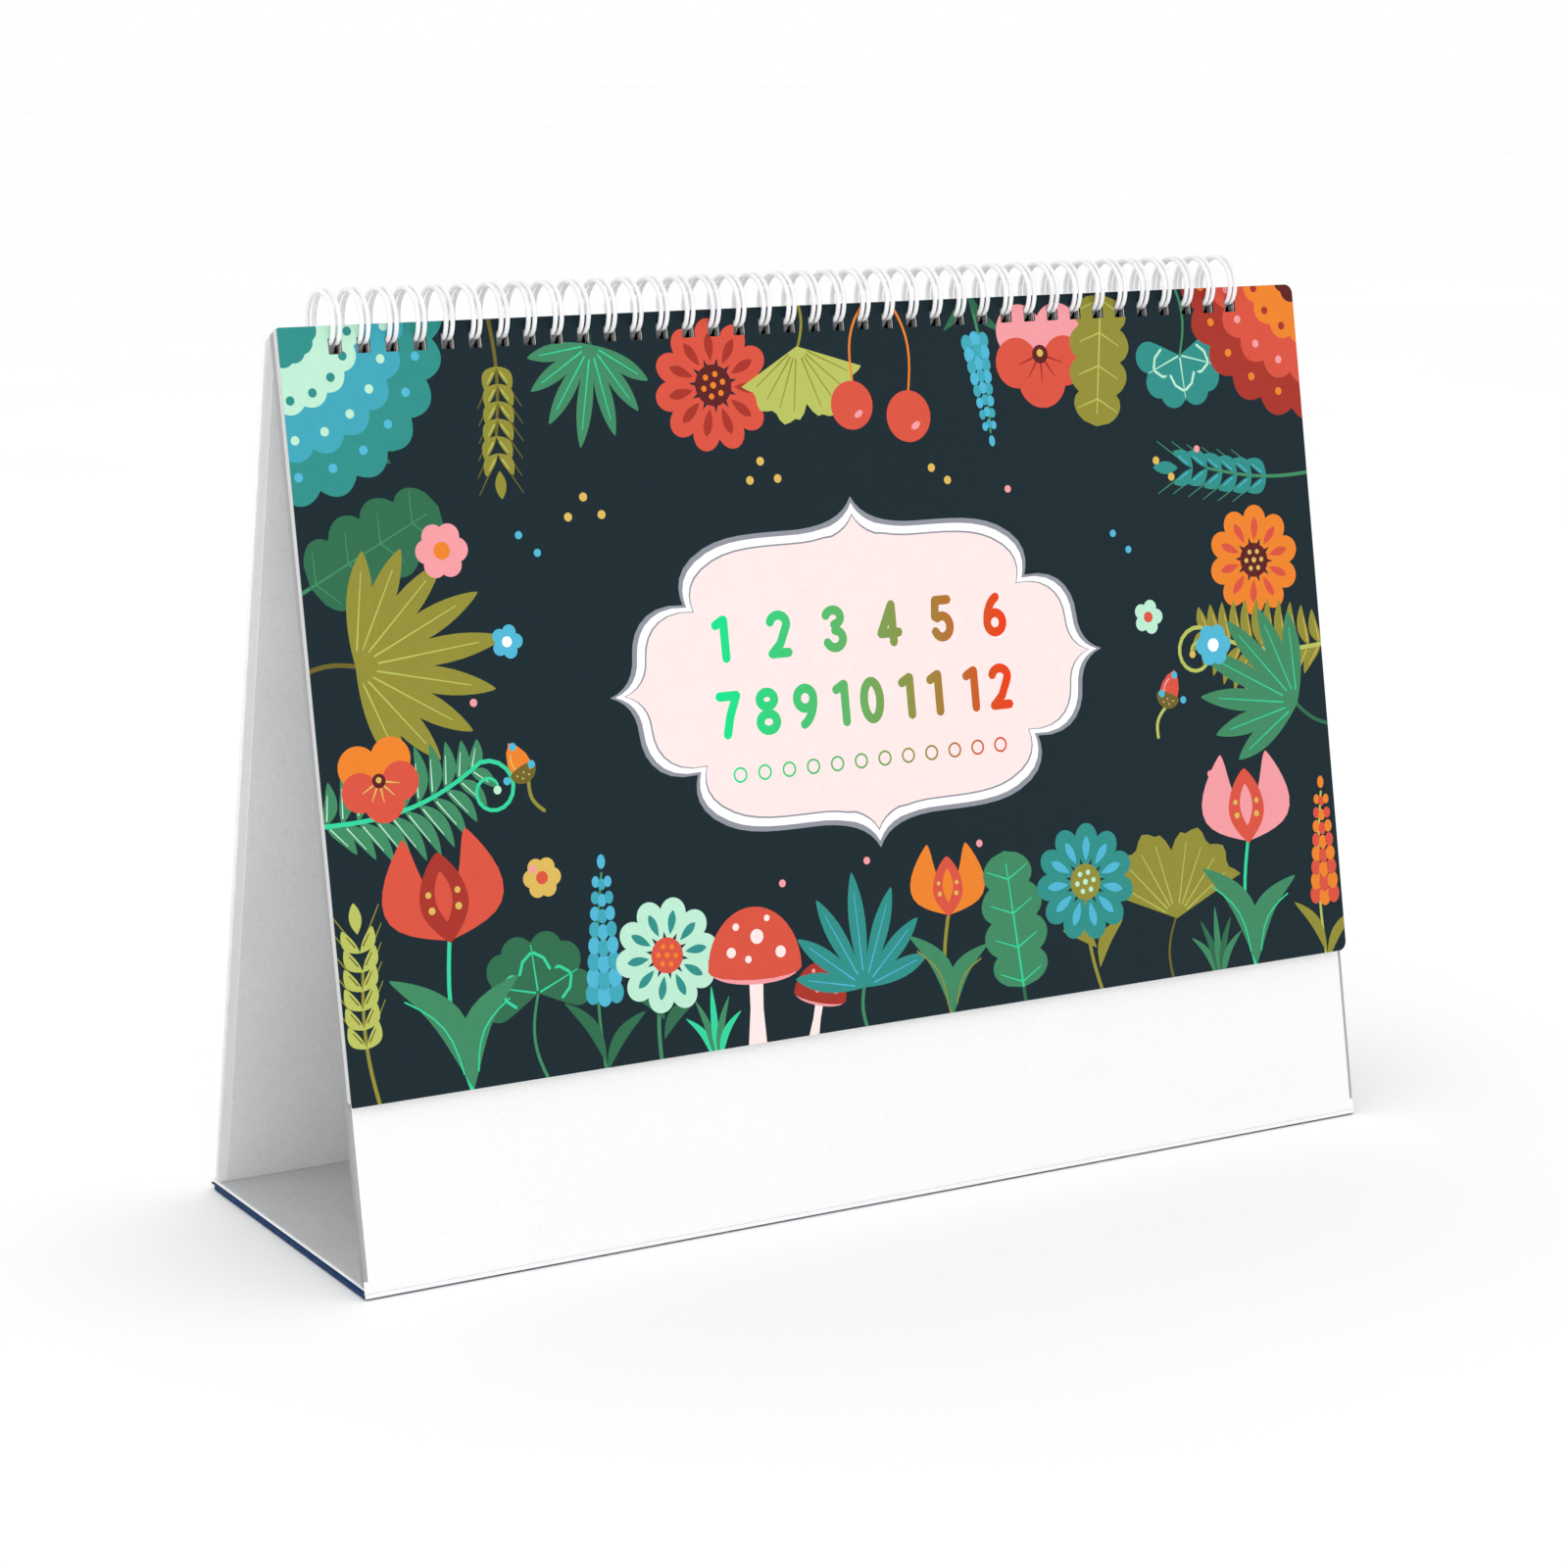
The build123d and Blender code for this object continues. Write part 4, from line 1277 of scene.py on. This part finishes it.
# ------------------------------------------------------------------ base
WRAP_IN = CREASE_Y + 1.25 * math.tan(LEAN) + 0.15 / CA + 0.05
SLOT_FRONT = BACK_Y - 2.25 * math.tan(LEAN) - 1.8 / CA - 1.0
SLOT_BACK = BACK_Y - 1.40 * math.tan(LEAN) + 0.35
SLOTS = [box_loop(s * 72 - 10.5, SLOT_FRONT, s * 72 + 10.5, SLOT_BACK, 0.4, 3) for s in (-1, 1)]
base = slab(
    "base_board_wrapped", on_base, box_loop(-WIDTH / 2, WRAP_IN, WIDTH / 2, LIP_Y, 1.2, 5, square=(0, 1)), SLOTS,
    [(0.95, 2.10), (0.4, 2.10), (0.24, 2.08), (0.1, 2.0), (0.02, 1.9), (0.0, 1.78), (0.0, 1.15)], [(0.0, 2.10), (0.0, 1.15)],
    [WRAP, PAD], wall_slot=lambda row, dx, dy: 1 if row == 5 else 0, round_edges=True,
)
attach(base, "base_panel")
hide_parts("base_board")

# The base's lining, in the darker grey of painted shade.
liner = slab(
    "base_lining", on_base, box_loop(-WIDTH / 2 + 0.45, WRAP_IN + 0.4, WIDTH / 2 - 0.45, LIP_Y - 0.45, 0.8, 3), SLOTS,
    [(0.04, 2.25), (0.0, 2.21), (0.0, 2.10)], [(0.0, 2.25), (0.0, 2.10)], [DEEP_SHADE_BASE_LINING, HOLE_SHADE], round_edges=True,
)
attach(liner, "base_panel")
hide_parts("base_liner")

# The wrap paper where it turns from the front panel under the base.
section = []
for t in range(10):
    d_out, z = 2.362, 3.6 - t * 0.2817
    y = (z - RING_Z - d_out * SA) / CA
    section.append(on_front(0, y, d_out)[1:])
turn_y, turn_z = section[-1]
for a in (25, 50, 75):
    t = math.radians(a)
    section.append((turn_y + 0.06 * (1 - math.cos(t)), turn_z - 0.06 * math.sin(t)))
section.append((WRAP_IN - 0.25, 1.0))
section.append((WRAP_IN - 0.02, 1.0))
B = Builder()
columns = 53
outer_row, inner_row = [], []
for i in range(columns):
    x = -WIDTH / 2 + WIDTH * i / (columns - 1)
    line, under = [], []
    for k, (y, z) in enumerate(section):
        py, pz = section[max(0, k - 1)]
        qy, qz = section[min(len(section) - 1, k + 1)]
        l = math.hypot(qy - py, qz - pz)
        ny, nz = -(qz - pz) / l, (qy - py) / l
        line.append(B.vert((x, y, z), 0.0 if k < 8 else 0.6))
        under.append(B.vert((x, y + 0.15 * ny, z + 0.15 * nz)))
    outer_row.append(line)
    inner_row.append(under)
last = len(section) - 1
for i in range(columns - 1):
    for k in range(last):
        B.face((outer_row[i][k], outer_row[i][k + 1], outer_row[i + 1][k + 1], outer_row[i + 1][k]), smooth=8 < k < last - 1)
        B.face((inner_row[i][k], inner_row[i + 1][k], inner_row[i + 1][k + 1], inner_row[i][k + 1]), smooth=8 < k < last - 1)
    B.face((outer_row[i][0], outer_row[i + 1][0], inner_row[i + 1][0], inner_row[i][0]))
    B.face((outer_row[i][last], inner_row[i][last], inner_row[i + 1][last], outer_row[i + 1][last]))
for k in range(last):
    B.face((outer_row[0][k], inner_row[0][k], inner_row[0][k + 1], outer_row[0][k + 1]))
    B.face((outer_row[-1][k], outer_row[-1][k + 1], inner_row[-1][k + 1], inner_row[-1][k]))
crease = B.make("crease_paper", [WRAP])
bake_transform(crease)

# ------------------------------------------------------------------ wire
def on_ring(x, polar):
    """A point on the loop, which draws in a little where it passes the punched holes."""
    p = math.radians(polar)
    into = ROOT_ANGLE - polar - 2.0
    r = RING_R - (1.1 * math.sin(math.radians(into * 180 / 48)) ** 2 if 0 < into < 48 else 0.0)
    return Vector((x, RING.y + r * math.cos(p), RING.z + r * math.sin(p)))


def off_ring(x, polar, ahead):
    p = math.radians(polar)
    return on_ring(x, polar) + Vector((0, math.sin(p), -math.cos(p))) * ahead


def tube(B, path, radius, sides):
    """A round wire along a line of points, with its frame carried along it."""
    count = len(path)
    ways = [(path[min(count - 1, i + 1)] - path[max(0, i - 1)]).normalized() for i in range(count)]
    side = ways[0].orthogonal().normalized()
    rows = []
    for i in range(count):
        if i:
            turn = ways[i - 1].rotation_difference(ways[i])
            side = turn @ side
            side = (side - ways[i] * side.dot(ways[i])).normalized()
        other = ways[i].cross(side)
        rows.append(
            [
                B.vert(path[i] + (side * math.cos(2 * math.pi * k / sides) + other * math.sin(2 * math.pi * k / sides)) * radius)
                for k in range(sides)
            ]
        )
    for a, b in zip(rows, rows[1:]):
        for k in range(sides):
            m = (k + 1) % sides
            B.face((a[k], a[m], b[m], b[k]), smooth=True)
    for row, way, flip in ((rows[0], -ways[0], True), (rows[-1], ways[-1], False)):
        centre = path[0] if flip else path[-1]
        rim = [B.vert(centre + way * radius * 0.3 + (Vector(B.verts[v]) * 1000 - centre) * 0.72) for v in row]
        for k in range(sides):
            m = (k + 1) % sides
            B.face((rim[k], rim[m], row[m], row[k]) if flip else (row[k], row[m], rim[m], rim[k]), smooth=True)
        B.face(rim[::-1] if flip else rim)


root_polar = ROOT_ANGLE - math.degrees(ROOT_FILLET / RING_R)
x_first = ROW_X - (LOOPS - 1) / 2 * PITCH
path = []
for i in range(LOOPS):
    xm = x_first + i * PITCH
    xl, xr = xm - LOOP_HALF, xm + LOOP_HALF
    if i == 0:
        path.append(off_ring(xl - ROOT_FILLET - 1.2, root_polar, -ROOT_FILLET))
    for k in range(5):
        t = math.radians(90 * k / 4)
        path.append(off_ring(xl - ROOT_FILLET * (1 - math.sin(t)), root_polar, -ROOT_FILLET * math.cos(t)))
    for k in range(1, 37):
        path.append(on_ring(xl, root_polar + (TIP_ANGLE - root_polar) * k / 36))
    for k in range(1, 9):
        t = math.radians(180 * k / 8)
        path.append(off_ring(xm - LOOP_HALF * math.cos(t), TIP_ANGLE, LOOP_HALF * math.sin(t)))
    for k in range(1, 37):
        path.append(on_ring(xr, TIP_ANGLE + (root_polar - TIP_ANGLE) * k / 36))
    for k in range(1, 5):
        t = math.radians(90 * k / 4)
        path.append(off_ring(xr + ROOT_FILLET * (1 - math.cos(t)), root_polar, -ROOT_FILLET * math.sin(t)))
    if i == LOOPS - 1:
        path.append(off_ring(xr + ROOT_FILLET + 1.2, root_polar, -ROOT_FILLET))
B = Builder()
tube(B, path, 0.51, 12)
wire = B.make("binding_wire", [WIRE])
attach(wire, "front_panel")
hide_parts("twin_loop_wire")

# ------------------------------------------------------------------ underlay, its front edge covered by the wrap
outline = [(FRONT_Y + 0.1, 0.0), (BACK_Y - 0.2, 0.0), (BACK_Y, 0.2), (BACK_Y, 1.0), (FRONT_Y + math.tan(LEAN) - 0.01, 1.0),
           (FRONT_Y + 0.02, 0.13), (FRONT_Y + 0.01, 0.08)]
B = Builder()
rows = [[B.vert((-WIDTH / 2 + WIDTH * i / 26, y, z)) for y, z in outline] for i in range(27)]
for a, b in zip(rows, rows[1:]):
    for k in range(len(outline)):
        m = (k + 1) % len(outline)
        B.face((a[k], b[k], b[m], a[m])[::-1], slot=1 if k == 4 else 0)
B.face(rows[0])
B.face(rows[-1][::-1])
pad = B.make("underlay", [PAD, WRAP])
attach(pad, "base_panel")
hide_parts("base_pad")

# ------------------------------------------------------------------ parts kept from the CAD
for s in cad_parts["base_wrap"].material_slots:
    s.material = PAD

# ------------------------------------------------------------------ stage, light, camera
floor = bpy.data.meshes.new("floor")
floor.from_pydata([(-8, -8, -0.0003), (8, -8, -0.0003), (8, 8, -0.0003), (-8, 8, -0.0003)], [], [(0, 1, 2, 3)])
ground = bpy.data.objects.new("floor", floor)
bpy.context.scene.collection.objects.link(ground)
m, nt, s = new_material("floor_paint")
where = coords(nt)
nt.links.new(ramp(nt, noise(nt, where, 3.0, 2.0), [(0.3, (0.98, 0.98, 0.98)), (0.7, (1.0, 1.0, 1.0))]), s.inputs["Base Color"])
s.inputs["Roughness"].default_value = 0.9
s.inputs["Specular IOR Level"].default_value = 0.1
floor.materials.append(m)

world = bpy.data.worlds.new("studio")
bpy.context.scene.world = world
world.use_nodes = True
world.node_tree.nodes["Background"].inputs["Color"].default_value = (1.0, 1.0, 1.0, 1.0)
world.node_tree.nodes["Background"].inputs["Strength"].default_value = 1.0


def area(name, spot, target, size, power, colour=(1, 1, 1)):
    light = bpy.data.lights.new(name, "AREA")
    light.shape = "RECTANGLE"
    light.size, light.size_y = size
    light.energy = power
    light.color = colour
    ob = bpy.data.objects.new(name, light)
    ob.location = spot
    ob.rotation_euler = (Vector(target) - Vector(spot)).to_track_quat("-Z", "Y").to_euler()
    bpy.context.scene.collection.objects.link(ob)


area("key", (-0.5, -1.6, 1.5), (0, 0, 0.1), (1.6, 1.2), 4.6)
area("low_fill", (-1.25, -0.75, 0.22), (-0.08, 0.0, 0.09), (0.7, 0.4), 2.0)

camera = bpy.data.cameras.new("camera")
camera.lens, camera.sensor_width = 83.94, 36.0
eye = bpy.data.objects.new("camera", camera)
bpy.context.scene.collection.objects.link(eye)
pitch, yaw, roll = math.radians(12.325), math.radians(30.932), math.radians(0.475)
ahead = Vector((math.sin(yaw) * math.cos(pitch), math.cos(yaw) * math.cos(pitch), -math.sin(pitch)))
right = Vector((math.cos(yaw), -math.sin(yaw), 0))
above = right.cross(ahead)
r2 = right * math.cos(roll) + above * math.sin(roll)
u2 = -right * math.sin(roll) + above * math.cos(roll)
turn = Matrix((r2, u2, -ahead)).transposed().to_4x4()
eye.matrix_world = Matrix.Translation((-0.42224, -0.69460, 0.26443)) @ turn
bpy.context.scene.camera = eye
bpy.context.scene.view_settings.view_transform = "Standard"
